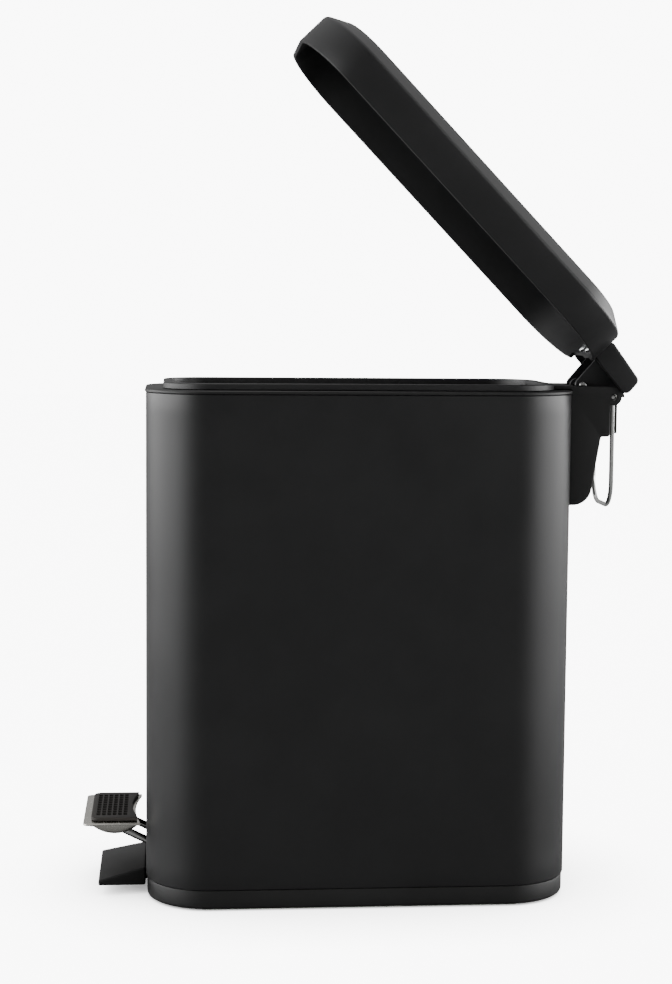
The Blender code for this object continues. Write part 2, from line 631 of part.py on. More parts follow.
def make_lid():
    """The lid shell with its hinge tab, the crank bracket with its screws, and the crank pin."""
    side_top = LID_RIM + LID_SIDE_HEIGHT
    top = side_top + LID_CHAMFER_UP
    edge = -LID_GROW
    inner = edge + LID_WALL
    profile = [
        (edge + LID_CHAMFER_IN + 1.5, top), (edge + LID_CHAMFER_IN, top - 0.3),
        (edge + LID_CHAMFER_IN - 1.5, top - 1.1), (edge + 1.2, side_top + 0.8),
        (edge + 0.3, side_top - 0.3), (edge, side_top - 1.5), (edge, LID_RIM), (inner, LID_RIM),
        (inner, side_top - 2.0), (inner + 1.0, side_top - 0.9),
        (inner + LID_CHAMFER_IN - 2.0, top - LID_WALL - 0.9), (inner + LID_CHAMFER_IN, top - LID_WALL),
    ]
    lid = add("lid_shell", swept(profile), black_plastic, hinge)
    inner_rear = TAB_REAR - TAB_WALL
    tab = [(BACK - 0.5, TAB_SKIRT), (TAB_REAR - 0.8, TAB_SKIRT_REAR), (TAB_REAR, TAB_SKIRT_REAR + 0.8),
           (TAB_REAR - 1.2, TAB_TOP_REAR - 1.4), (TAB_REAR - 2.8, TAB_TOP_REAR), (BACK - 0.5, TAB_TOP)]
    join(lid, prism("X", tab, -TAB_HALF_WIDTH, TAB_HALF_WIDTH), hinge)
    inner_front = BACK + LID_GROW + 0.05
    under = [(inner_front, LID_RIM - 3), (inner_rear, LID_RIM - 3), (inner_rear, TAB_BOTTOM + 4),
             (inner_rear - 1.6, TAB_TOP_REAR - TAB_WALL), (inner_front, TAB_TOP - TAB_WALL)]
    half = TAB_HALF_WIDTH - TAB_WALL
    cut(lid, prism("X", under, -half, half), hinge)
    cut(lid, block((-half, half), (inner_rear - 1, TAB_REAR + 1), (LID_RIM - 3, TAB_BOTTOM)), hinge)
    cut(lid, block((-half, half), (BACK - 6, BACK + 6), (LID_RIM - 3, LID_NOTCH_TOP)), hinge)
    screw_x, screw_z = 7.0, 271.6
    for sign in (-1, 1):
        cut(lid, rod("Y", (sign * screw_x, screw_z), 1.8, BACK - 6, BACK + 2.5), hinge)
    pair("bracket_screw", lambda sign: screw(
        "Y", (sign * screw_x, screw_z), BACK - 3.1, BACK + 5.6), zinc, hinge)

    pin_y, pin_z = crank_pin_place(0)
    plate_y = (BACK + LID_GROW + GAP, BACK + LID_GROW + GAP + 2)
    plate_z = (LID_NOTCH_TOP + 0.7, LID_NOTCH_TOP + 5.2)
    arm_shoulder = 266.9  # stays under the lid's tab
    arm = [(plate_y[0], plate_z[1]), (plate_y[0], plate_z[0]), (BACK + 4.2, plate_z[0])]
    arm += arc((pin_y, pin_z), 4.0, 180, 290, 6)
    arm += arc((HINGE_Y, HINGE_Z), 3.6, -70, 20, 6)
    arm += [(HINGE_Y + 1.0, arm_shoulder), (HINGE_Y + 0.7, plate_z[1] - 1.2)]
    arm += [(HINGE_Y - 2, plate_z[1])]
    bracket = add("crank_bracket", prism("X", arm, -ARM_OUT, ARM_OUT), dark_steel, hinge)
    cut(bracket, block((-ARM_IN, ARM_IN), (plate_y[1], 150), (230, 290)), hinge)
    cut(bracket, rod("X", (HINGE_Y, HINGE_Z), HINGE_PIN_RADIUS + GAP, -20, 20), hinge)
    cut(bracket, rod("X", (pin_y, pin_z), CRANK_PIN_RADIUS + GAP, -20, 20), hinge)
    for sign in (-1, 1):
        cut(bracket, rod("Y", (sign * screw_x, screw_z), 1.8, BACK, BACK + 6), hinge)
    reach = ARM_OUT + 1.6
    add("crank_pin", turned("X", (pin_y, pin_z), [
        (CRANK_PIN_RADIUS, -reach), (CRANK_PIN_RADIUS, ARM_OUT + 0.4), (2.1, ARM_OUT + 0.4),
        (2.1, ARM_OUT + 1.2), (1.4, ARM_OUT + 1.8)]), chrome_wire, hinge)
    disc = rod("X", (pin_y, pin_z), 3.4, -ARM_OUT - 1.2, -ARM_OUT - 0.4)
    washer = add("crank_pin_washer", disc, zinc, hinge)
    cut(washer, rod("X", (pin_y, pin_z), CRANK_PIN_RADIUS + GAP, -20, 0), hinge)


make_shell()
make_base()
make_front_foot()
make_mouth_frame()
make_collar()
make_bucket()
make_pedal()
make_push_rod()
make_housing()
make_bail()
make_lid()
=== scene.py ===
"""Looks of a slim rectangular pedal bin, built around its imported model.

Sizes are millimetres on the bin itself: X across, Y from the middle of the body towards the
hinge, Z up from the floor. The lid is built closed and then turned open about its hinge.
"""

from __future__ import annotations

import json
import logging
import math
from dataclasses import dataclass, field
from enum import Enum
from typing import Sequence

import bmesh
import bpy
from mathutils import Matrix, Vector


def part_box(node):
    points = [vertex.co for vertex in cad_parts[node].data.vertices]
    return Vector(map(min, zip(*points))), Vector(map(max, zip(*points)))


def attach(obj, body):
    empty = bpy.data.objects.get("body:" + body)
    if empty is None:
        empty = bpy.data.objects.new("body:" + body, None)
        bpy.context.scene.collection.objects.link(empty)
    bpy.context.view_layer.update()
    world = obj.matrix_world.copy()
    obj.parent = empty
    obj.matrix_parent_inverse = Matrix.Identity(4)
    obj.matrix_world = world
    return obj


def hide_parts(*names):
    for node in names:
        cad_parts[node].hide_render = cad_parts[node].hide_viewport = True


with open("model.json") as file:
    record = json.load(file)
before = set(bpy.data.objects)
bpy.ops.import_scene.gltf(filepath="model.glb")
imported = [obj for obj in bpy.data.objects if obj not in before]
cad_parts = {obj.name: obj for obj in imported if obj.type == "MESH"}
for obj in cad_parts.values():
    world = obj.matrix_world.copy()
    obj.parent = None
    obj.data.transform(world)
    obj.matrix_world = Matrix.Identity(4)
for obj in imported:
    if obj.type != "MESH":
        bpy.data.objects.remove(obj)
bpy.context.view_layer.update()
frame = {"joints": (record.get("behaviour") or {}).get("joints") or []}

LOG = logging.getLogger("pedal_bin")
MM = 0.001
SCREW_HOLE = 1.8  # radius
HOUSING_SCREW = (15.0, 230.0)  # X and Z of the screws that hold the hinge housing
BACK_WALL = (104.0, 114.0)  # a stretch of Y that takes in the back wall and the housing's front
FRONT_WALL = (-115.0, -105.0)
Profile = Sequence[tuple[float, float]]
Socket = bpy.types.NodeSocket


# ---------------------------------------------------------------- colours and nodes


def srgb(hex_colour: str) -> tuple[float, float, float, float]:
    """Turn an sRGB hex colour into the linear colour that shaders use.

    Args:
        hex_colour: six hex digits, without a hash.

    Returns:
        Linear red, green, blue and full alpha.
    """
    channels = [int(hex_colour[i:i + 2], 16) / 255 for i in (0, 2, 4)]
    linear = [c / 12.92 if c <= 0.04045 else ((c + 0.055) / 1.055) ** 2.4 for c in channels]
    return (*linear, 1.0)


def add_node(tree: bpy.types.NodeTree, kind: str, settings: dict | None = None,
             links: dict | None = None) -> bpy.types.Node:
    """Add one node to a tree.

    Args:
        tree: the shader or geometry tree.
        kind: the node's type name.
        settings: its properties by name.
        links: a value or an output socket for each input, by name or by index.

    Returns:
        The new node.
    """
    node = tree.nodes.new(kind)
    for name, value in (settings or {}).items():
        setattr(node, name, value)
    for name, value in (links or {}).items():
        if isinstance(value, Socket):
            tree.links.new(value, node.inputs[name])
        else:
            node.inputs[name].default_value = value
    return node


def remap(tree: bpy.types.NodeTree, value: Socket, span: tuple[float, float],
          onto: tuple[float, float], smooth: bool = False) -> Socket:
    """A value moved from one range onto another, kept inside it."""
    settings = {"interpolation_type": "SMOOTHSTEP"} if smooth else {}
    return add_node(tree, "ShaderNodeMapRange", settings, {
        "Value": value, "From Min": span[0], "From Max": span[1],
        "To Min": onto[0], "To Max": onto[1]}).outputs["Result"]


def maths(tree: bpy.types.NodeTree, operation: str, first: Socket, second: Socket | float = 0.0) -> Socket:
    """One step of arithmetic on a value."""
    return add_node(tree, "ShaderNodeMath", {"operation": operation}, {
        0: first, 1: second}).outputs["Value"]


def noise(tree: bpy.types.NodeTree, at: Socket, size_mm: float, detail: float, rough: float = 0.5) -> Socket:
    """Soft noise whose marks are size_mm wide."""
    return add_node(tree, "ShaderNodeTexNoise", {}, {
        "Vector": at, "Scale": 1.0 / (size_mm * MM), "Detail": detail,
        "Roughness": rough}).outputs["Fac"]


def blend(tree: bpy.types.NodeTree, share: Socket, first: str, second: str) -> Socket:
    """A colour between two sRGB hex colours."""
    return add_node(tree, "ShaderNodeMix", {"data_type": "RGBA"}, {
        0: share, 6: srgb(first), 7: srgb(second)}).outputs[2]


def surface(name: str) -> tuple[bpy.types.Material, bpy.types.NodeTree, Socket]:
    """A new material, its tree and the place on the object."""
    made = bpy.data.materials.new(name)
    made.use_nodes = True
    tree = made.node_tree
    return made, tree, add_node(tree, "ShaderNodeTexCoord").outputs["Object"]


def coat(tree: bpy.types.NodeTree, colour: Socket, rough: Socket, height: Socket, depth_mm: float,
         strength: float) -> bpy.types.Node:
    """Give a tree's shader its colour, roughness and bumps, and return the shader."""
    shader = tree.nodes["Principled BSDF"]
    bump = add_node(tree, "ShaderNodeBump", {}, {
        "Height": height, "Distance": depth_mm * MM, "Strength": strength})
    tree.links.new(colour, shader.inputs["Base Color"])
    tree.links.new(rough, shader.inputs["Roughness"])
    tree.links.new(bump.outputs["Normal"], shader.inputs["Normal"])
    return shader


class Coat(Enum):
    """How a plastic or painted surface breaks up the light."""

    ORANGE_PEEL = "orange_peel"
    SPARK_GRAIN = "spark_grain"
    SOFT_RUBBER = "soft_rubber"


@dataclass(frozen=True)
class CoatedFinish:
    """A painted, moulded or rubber surface: fine bumps, faint mottling and a painted highlight on convex
    edges.
    """

    name: str
    slot: str
    colour: str
    light_colour: str
    roughness: float
    coat: Coat
    grain_mm: float
    bump_mm: float = 0.02
    specular: float = 0.5
    # How far convex edges are painted towards the lighter colour: a painted highlight, not wear.
    edge_highlight: float = 0.25
    patch_mm: float = 38.0

    def build(self) -> bpy.types.Material:
        """Make the material."""
        made, tree, at = surface(self.name)
        peel = self.coat is Coat.ORANGE_PEEL
        # Grain: one period of the noise is the moulding or paint grain's own size.
        grain = noise(tree, at, self.grain_mm, 2.0 if peel else 4.0, 0.45 if peel else 0.6)
        # Handling marks: soft patches some tens of millimetres wide.
        patches = noise(tree, at, self.patch_mm, 3.0, 0.55)
        # Painted highlight: edges picked out by pointiness are blended towards the lighter colour.
        pointiness = add_node(tree, "ShaderNodeNewGeometry").outputs["Pointiness"]
        edge = remap(tree, pointiness, (0.515, 0.60), (0.0, self.edge_highlight))
        mottle = remap(tree, patches, (0.35, 0.75), (0.0, 0.35))
        colour = blend(tree, maths(tree, "MAXIMUM", edge, mottle), self.colour, self.light_colour)
        rough = remap(tree, patches, (0.3, 0.7), (self.roughness - 0.035, self.roughness + 0.045))
        shader = coat(tree, colour, rough, grain, self.bump_mm, 0.6)
        shader.inputs["Specular IOR Level"].default_value = self.specular
        return made


@dataclass(frozen=True)
class MetalFinish:
    """A bare or plated metal: fine drawing lines, faint haze and smudges."""

    name: str
    slot: str
    colour: str
    haze_colour: str
    roughness: float
    line_mm: float
    lines_along: tuple[float, float, float] = (1.0, 1.0, 1.0)
    bump_mm: float = 0.004
    haze_mm: float = 9.0

    def build(self) -> bpy.types.Material:
        """Make the material."""
        made, tree, at = surface(self.name)
        stretched = add_node(tree, "ShaderNodeMapping", {}, {"Vector": at, "Scale": self.lines_along})
        lines = noise(tree, stretched.outputs["Vector"], self.line_mm, 3.0, 0.6)
        colour = blend(tree, noise(tree, at, self.haze_mm, 2.0), self.colour, self.haze_colour)
        rough = remap(tree, lines, (0.3, 0.7), (max(0.03, self.roughness - 0.05), self.roughness + 0.07))
        coat(tree, colour, rough, lines, self.bump_mm, 0.35).inputs["Metallic"].default_value = 1.0
        return made


# Powder coat on steel: matt black with a faint orange peel that softens reflections into bands.
POWDER_COAT = CoatedFinish("powder_coated_steel", "painted_steel", "0e0e0f", "161617", 0.40,
                           Coat.ORANGE_PEEL, 1.6, 0.020)
# Moulded polypropylene: spark-eroded grain from the mould, slightly greyer where light grazes.
MOULDED_BLACK = CoatedFinish("moulded_black_polypropylene", "black_plastic", "0f0f0f", "1a1a1a", 0.50,
                             Coat.SPARK_GRAIN, 0.7, 0.018, 0.4)
# The lid's top side carries the same grain, with a silkier sheen.
LID_BLACK = CoatedFinish("silky_black_abs", "black_plastic", "0f0f10", "19191a", 0.42,
                         Coat.SPARK_GRAIN, 0.6, 0.014)
# Bucket polypropylene: cheaper, duller and a touch darker.
LINER_BLACK = CoatedFinish("bucket_black_polypropylene", "liner_plastic", "0c0c0d", "141415", 0.50,
                           Coat.SPARK_GRAIN, 0.9, 0.02)
# Tread rubber: warm black and dull, with a strong painted highlight on the convex edges of its raised ribs.
TREAD_RUBBER = CoatedFinish("tread_rubber", "pad_rubber", "1c1917", "4a4541", 0.62,
                            Coat.SOFT_RUBBER, 0.5, 0.03, 0.4, 0.75)
# Closed-cell foam strip: pale grey-green, open pores on the cut face.
FOAM_STRIP = CoatedFinish("non_slip_foam", "strip_foam", "9fa89c", "b6bdb2", 0.85,
                          Coat.SOFT_RUBBER, 0.8, 0.08, 0.3, 0.1)
# Blackened pressed steel of the crank bracket and the push rod.
BLACKED_STEEL = CoatedFinish("blackened_steel", "dark_steel", "0c0c0d", "1c1c1d", 0.4,
                             Coat.ORANGE_PEEL, 0.9, 0.012, 0.6, 0.35)
# Polished stainless tread plate with fine lines along its width.
POLISHED_STEEL = MetalFinish("polished_stainless", "polished_steel", "dedcd6", "cfccc4", 0.22, 0.35,
                             (0.06, 1.0, 1.0))
# Chromed spring wire, drawn smooth.
CHROME_WIRE = MetalFinish("chromed_wire", "chrome_wire", "dcdcda", "c9cac8", 0.1, 0.6)
# Bright zinc plate on screws, washer and axle, hazy from the bath.
ZINC_PLATE = MetalFinish("zinc_plate", "zinc", "b9bab9", "a3a6a8", 0.28, 0.5)


# ---------------------------------------------------------------- shapes


def outline(half_x: float, half_y: float, radius: float, steps: int = 20) -> list[tuple[float, float]]:
    """A rectangle with round corners, anticlockwise from the +X side.

    Args:
        half_x: half its width.
        half_y: half its length.
        radius: the corners' radius.
        steps: faces on each corner.

    Returns:
        The outline's points.
    """
    points = []
    for quarter, (sign_x, sign_y) in enumerate(((1, 1), (-1, 1), (-1, -1), (1, -1))):
        for step in range(steps + 1):
            angle = math.radians(90 * (quarter + step / steps))
            points.append((sign_x * (half_x - radius) + radius * math.cos(angle),
                           sign_y * (half_y - radius) + radius * math.sin(angle)))
    return points


def arc(centre: tuple[float, float], radius: float, start: float, end: float,
        steps: int) -> list[tuple[float, float]]:
    """Points on a circle from one angle to another, in degrees, both ends included."""
    angles = [math.radians(start + (end - start) * i / steps) for i in range(steps + 1)]
    return [(centre[0] + radius * math.cos(a), centre[1] + radius * math.sin(a)) for a in angles]


def soften(points: Profile, radius: float, steps: int = 4, closed: bool = True) -> list[tuple[float, float]]:
    """Round the corners of a flat outline.

    Args:
        points: the outline's corners.
        radius: the rounding, made smaller where an edge is short.
        steps: faces on each rounding.
        closed: whether the last point joins the first.

    Returns:
        The outline with its corners rounded.
    """
    rounded: list[tuple[float, float]] = []
    count = len(points)
    for i, point in enumerate(points):
        corner = Vector(point)
        before = Vector(points[i - 1]) - corner
        after = Vector(points[(i + 1) % count]) - corner
        opening = before.angle(after, math.pi)
        if (not closed and i in (0, count - 1)) or opening > math.radians(165):
            rounded.append(tuple(corner))
            continue
        reach = min(radius / math.tan(opening / 2), 0.45 * before.length, 0.45 * after.length)
        size = reach * math.tan(opening / 2)
        middle = (before.normalized() + after.normalized()).normalized()
        centre = corner + middle * size / math.sin(opening / 2)
        start = corner + before.normalized() * reach - centre
        turn = math.copysign(math.pi - opening, before.cross(after)) * -1
        for step in range(steps + 1):
            rounded.append(tuple(centre + Matrix.Rotation(turn * step / steps, 2) @ start))
    return rounded


def ribbon(points: Profile, half_width: float) -> list[tuple[float, float]]:
    """The outline of a flat strip of even width along a bent centre line."""
    left, right = [], []
    for i, point in enumerate(points):
        here = Vector(point)
        before = (here - Vector(points[i - 1])).normalized() if i else None
        after = (Vector(points[i + 1]) - here).normalized() if i + 1 < len(points) else None
        along = ((before or after) + (after or before)).normalized()
        normal = Vector((-along.y, along.x))
        edge = after or before
        reach = half_width / normal.dot(Vector((-edge.y, edge.x)))
        left.append(tuple(here + normal * reach))
        right.append(tuple(here - normal * reach))
    return left + right[::-1]


def place(axis: str, a: float, b: float, along: float) -> Vector:
    """A point from its two section coordinates and its place along an axis."""
    return Vector({"X": (along, a, b), "Y": (a, along, b), "Z": (a, b, along)}[axis])


def loft(rings: Sequence[Sequence[Vector]], endless: bool = False) -> bmesh.types.BMesh:
    """Skin equal rings in order.

    Args:
        rings: the sections, all with the same number of points.
        endless: whether the last ring joins the first.

    Returns:
        The closed body.
    """
    bm = bmesh.new()
    loops = [[bm.verts.new(point) for point in ring] for ring in rings]
    pairs = list(zip(loops, loops[1:]))
    if endless:
        pairs.append((loops[-1], loops[0]))
    for low, high in pairs:
        for i, vertex in enumerate(low):
            j = (i + 1) % len(low)
            bm.faces.new((vertex, low[j], high[j], high[i]))
    if not endless:
        for loop in (loops[0], loops[-1]):
            bm.faces.new(loop)
    bmesh.ops.recalc_face_normals(bm, faces=bm.faces)
    return bm


def prism(axis: str, points: Profile, low: float, high: float) -> bmesh.types.BMesh:
    """A straight body from a flat outline: (Y, Z), (X, Z) or (X, Y) for the axes X, Y and Z."""
    return loft([[place(axis, a, b, along) for a, b in points] for along in (low, high)])


def inset(points: Profile, amount: float) -> list[tuple[float, float]]:
    """An outline moved inwards by an even amount, with the same number of points."""
    area = sum(a[0] * b[1] - b[0] * a[1] for a, b in zip(points, [*points[1:], points[0]]))
    side = math.copysign(1.0, area)
    moved = []
    for i, point in enumerate(points):
        here, before, after = Vector(point), Vector(points[i - 1]), Vector(points[(i + 1) % len(points)])
        first, second = (here - before).normalized(), (after - here).normalized()
        normals = [Vector((-way.y, way.x)) * side for way in (first, second)]
        spread = max(1 + normals[0].dot(normals[1]), 0.5)
        moved.append(tuple(here + (normals[0] + normals[1]) * amount / spread))
    return moved


def pillow(axis: str, points: Profile, low: float, high: float, edge: float,
           steps: int = 3) -> bmesh.types.BMesh:
    """A straight body whose two end faces have rounded edges.

    Args:
        axis: the axis it runs along.
        points: its outline.
        low: where it starts.
        high: where it ends.
        edge: the radius of the rounded edges.
        steps: faces on each rounding.

    Returns:
        The closed body.
    """
    turns = [math.radians(90 * i / steps) for i in range(steps + 1)]
    start = [(edge * (1 - math.sin(turn)), low + edge * (1 - math.cos(turn))) for turn in turns]
    rings = start + [(back, low + high - along) for back, along in reversed(start)]
    return loft([[place(axis, a, b, along) for a, b in inset(points, back)] for back, along in rings])


def block(x: Profile, y: Profile, z: Profile) -> bmesh.types.BMesh:
    """A box from three (low, high) pairs."""
    return prism("Z", [(x[0], y[0]), (x[1], y[0]), (x[1], y[1]), (x[0], y[1])], *z)


def turned(axis: str, centre: tuple[float, float], profile: Profile, sides: int = 40) -> bmesh.types.BMesh:
    """A body of round sections along an axis, from (radius, place) points."""
    rings = []
    for radius, along in profile:
        circle = arc(centre, radius, 0, 360 * (sides - 1) / sides, sides - 1)
        rings.append([place(axis, a, b, along) for a, b in circle])
    return loft(rings)


def bar(axis: str, centre: tuple[float, float], radius: float, low: float, high: float,
        sides: int = 40) -> bmesh.types.BMesh:
    """A plain round bar along an axis."""
    return turned(axis, centre, [(radius, low), (radius, high)], sides)


def screw_holes(spot: tuple[float, float], low: float, high: float) -> list[bmesh.types.BMesh]:
    """Two screw holes along Y, one on each side, from their X and Z."""
    return [bar("Y", (sign * spot[0], spot[1]), SCREW_HOLE, low, high) for sign in (-1, 1)]


def rod_slot() -> bmesh.types.BMesh:
    """Where the push rod passes through the back wall and the housing."""
    return block((-3, 3), BACK_WALL, (207.5, 246.5))


def bend_path(points: Sequence[Vector], radius: float, endless: bool, steps: int = 10) -> list[Vector]:
    """A path in space whose corners are turned into arcs.

    Args:
        points: the path's corners.
        radius: the bends' radius.
        endless: whether the last point joins the first.
        steps: pieces in each bend.

    Returns:
        The points of the bent path.
    """
    path: list[Vector] = []
    count = len(points)
    for i, point in enumerate(points):
        corner = Vector(point)
        if not endless and i in (0, count - 1):
            path.append(corner)
            continue
        back = (Vector(points[i - 1]) - corner).normalized()
        ahead = (Vector(points[(i + 1) % count]) - corner).normalized()
        opening = back.angle(ahead)
        centre = corner + (back + ahead).normalized() * radius / math.sin(opening / 2)
        start = corner + back * radius / math.tan(opening / 2) - centre
        axis = back.cross(ahead)
        for step in range(steps + 1):
            path.append(centre + Matrix.Rotation(-(math.pi - opening) * step / steps, 3, axis) @ start)
    return path


# ---------------------------------------------------------------- the workshop


@dataclass
class Workshop:
    """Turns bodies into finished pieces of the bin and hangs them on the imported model."""

    middle_y: float
    hinge: Vector
    open_angle: float
    finishes: dict[str, bpy.types.Material] = field(default_factory=dict)
    made: list[str] = field(default_factory=list)

    def finish(self, finish: CoatedFinish | MetalFinish) -> bpy.types.Material:
        """The material of a finish, built the first time that it is asked for."""
        if finish.name not in self.finishes:
            self.finishes[finish.name] = finish.build()
        return self.finishes[finish.name]

    def to_row(self, opened: bool) -> Matrix:
        """The move from the bin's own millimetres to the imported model's frame."""
        home = Matrix.Translation((0, self.middle_y, 0)) @ Matrix.Scale(MM, 4)
        if not opened:
            return home
        swing = (Matrix.Translation(self.hinge) @ Matrix.Rotation(-self.open_angle, 4, "X")
                 @ Matrix.Translation(-self.hinge))
        return swing @ home

    def blank(self, name: str, bm: bmesh.types.BMesh) -> bpy.types.Object:
        """A loose object that holds a body in the bin's own millimetres."""
        mesh = bpy.data.meshes.new(name)
        bm.to_mesh(mesh)
        bm.free()
        piece = bpy.data.objects.new(name, mesh)
        bpy.context.scene.collection.objects.link(piece)
        return piece

    def carve(self, piece: bpy.types.Object, cuts: Sequence[bmesh.types.BMesh] = (),
              joins: Sequence[bmesh.types.BMesh] = ()) -> None:
        """Join bodies to a piece, then cut others out of it."""
        steps = [(bm, "UNION") for bm in joins] + [(bm, "DIFFERENCE") for bm in cuts]
        for bm, operation in steps:
            tool = self.blank("tool", bm)
            change = piece.modifiers.new("carve", "BOOLEAN")
            change.operation = operation
            change.solver = "EXACT"
            change.object = tool
            self.settle(piece)
            bpy.data.objects.remove(tool)

    def settle(self, piece: bpy.types.Object) -> None:
        """Turn a piece's live modifiers into its mesh."""
        bpy.context.view_layer.update()
        graph = bpy.context.evaluated_depsgraph_get()
        mesh = bpy.data.meshes.new_from_object(piece.evaluated_get(graph))
        piece.modifiers.clear()
        piece.data = mesh

    def bevel(self, piece: bpy.types.Object, width: float, segments: int = 3, limit: float = 40) -> None:
        """Round a piece's sharp edges, in millimetres."""
        change = piece.modifiers.new("edges", "BEVEL")
        change.width = width
        change.segments = segments
        change.limit_method = "ANGLE"
        change.angle_limit = math.radians(limit)
        change.use_clamp_overlap = True
        change.harden_normals = False
        self.settle(piece)

    def hang(self, piece: bpy.types.Object, finish: CoatedFinish | MetalFinish, body: str,
             stands_for: Sequence[str], opened: bool = False, crease: float = 32) -> bpy.types.Object:
        """Finish a piece: place it, shade it and let it ride on its body.

        Args:
            piece: the object, still in the bin's own millimetres.
            finish: what it is made of.
            body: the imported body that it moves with.
            stands_for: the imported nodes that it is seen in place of.
            opened: whether it was built on the closed lid and has to be turned open.
            crease: edges sharper than this, in degrees, stay crisp.

        Returns:
            The piece.
        """
        mesh = piece.data
        mesh.transform(self.to_row(opened))
        mesh.materials.clear()
        mesh.materials.append(self.finish(finish))
        mesh.shade_smooth()
        mesh.set_sharp_from_angle(angle=math.radians(crease))
        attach(piece, body)
        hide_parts(*stands_for)
        self.made.append(piece.name)
        check = bmesh.new()
        check.from_mesh(mesh)
        loose = sum(not edge.is_manifold for edge in check.edges)
        check.free()
        LOG.info("%s: %d faces on %s, %d open edges", piece.name, len(mesh.polygons), body, loose)
        return piece


# ---------------------------------------------------------------- geometry node trees


def new_tree(name: str, inputs: dict[str, tuple[str, object]]) -> bpy.types.NodeTree:
    """An empty geometry node tree with named inputs.

    Args:
        name: the tree's name.
        inputs: the socket type and default of each input, by name.

    Returns:
        The tree, with its group input and output nodes.
    """
    tree = bpy.data.node_groups.new(name, "GeometryNodeTree")
    tree.interface.new_socket("Geometry", in_out="INPUT", socket_type="NodeSocketGeometry")
    tree.interface.new_socket("Geometry", in_out="OUTPUT", socket_type="NodeSocketGeometry")
    for label, (kind, default) in inputs.items():
        socket = tree.interface.new_socket(label, in_out="INPUT", socket_type=kind)
        if default is not None:
            socket.default_value = default
    return tree


def wire_tree() -> bpy.types.NodeTree:
    """Round wire along the edges of a path."""
    tree = new_tree("round_wire", {
        "Radius": ("NodeSocketFloat", 1.0), "Sides": ("NodeSocketInt", 24),
        "Material": ("NodeSocketMaterial", None)})
    given = add_node(tree, "NodeGroupInput").outputs
    path = add_node(tree, "GeometryNodeMeshToCurve", {}, {"Mesh": given["Geometry"]})
    section = add_node(tree, "GeometryNodeCurvePrimitiveCircle", {}, {
        "Resolution": given["Sides"], "Radius": given["Radius"]})
    skin = add_node(tree, "GeometryNodeCurveToMesh", {}, {
        "Curve": path.outputs["Curve"], "Profile Curve": section.outputs["Curve"], "Fill Caps": True})
    welded = add_node(tree, "GeometryNodeMergeByDistance", {}, {
        "Geometry": skin.outputs["Mesh"], "Distance": 0.001})
    plain = add_node(tree, "GeometryNodeRealizeInstances", {}, {"Geometry": welded.outputs["Geometry"]})
    dressed = add_node(tree, "GeometryNodeSetMaterial", {}, {
        "Geometry": plain.outputs["Geometry"], "Material": given["Material"]})
    add_node(tree, "NodeGroupOutput", {}, {"Geometry": dressed.outputs["Geometry"]})
    return tree


def repeat_tree() -> bpy.types.NodeTree:
    """One small body repeated on every point of a mesh, each turned a little by chance."""
    tree = new_tree("repeat_on_points", {
        "Part": ("NodeSocketObject", None), "Spin": ("NodeSocketVector", (0.0, 0.0, 0.0)),
        "Seed": ("NodeSocketInt", 7), "Material": ("NodeSocketMaterial", None)})
    given = add_node(tree, "NodeGroupInput").outputs
    part = add_node(tree, "GeometryNodeObjectInfo", {}, {"Object": given["Part"]})
    least = add_node(tree, "ShaderNodeVectorMath", {"operation": "SCALE"}, {
        0: given["Spin"], "Scale": -1.0})
    chance = add_node(tree, "FunctionNodeRandomValue", {"data_type": "FLOAT_VECTOR"}, {
        0: least.outputs["Vector"], 1: given["Spin"], "Seed": given["Seed"]})
    copies = add_node(tree, "GeometryNodeInstanceOnPoints", {}, {
        "Points": given["Geometry"], "Instance": part.outputs["Geometry"],
        "Rotation": chance.outputs["Value"]})
    plain = add_node(tree, "GeometryNodeRealizeInstances", {}, {"Geometry": copies.outputs["Instances"]})
    dressed = add_node(tree, "GeometryNodeSetMaterial", {}, {
        "Geometry": plain.outputs["Geometry"], "Material": given["Material"]})
    add_node(tree, "NodeGroupOutput", {}, {"Geometry": dressed.outputs["Geometry"]})
    return tree


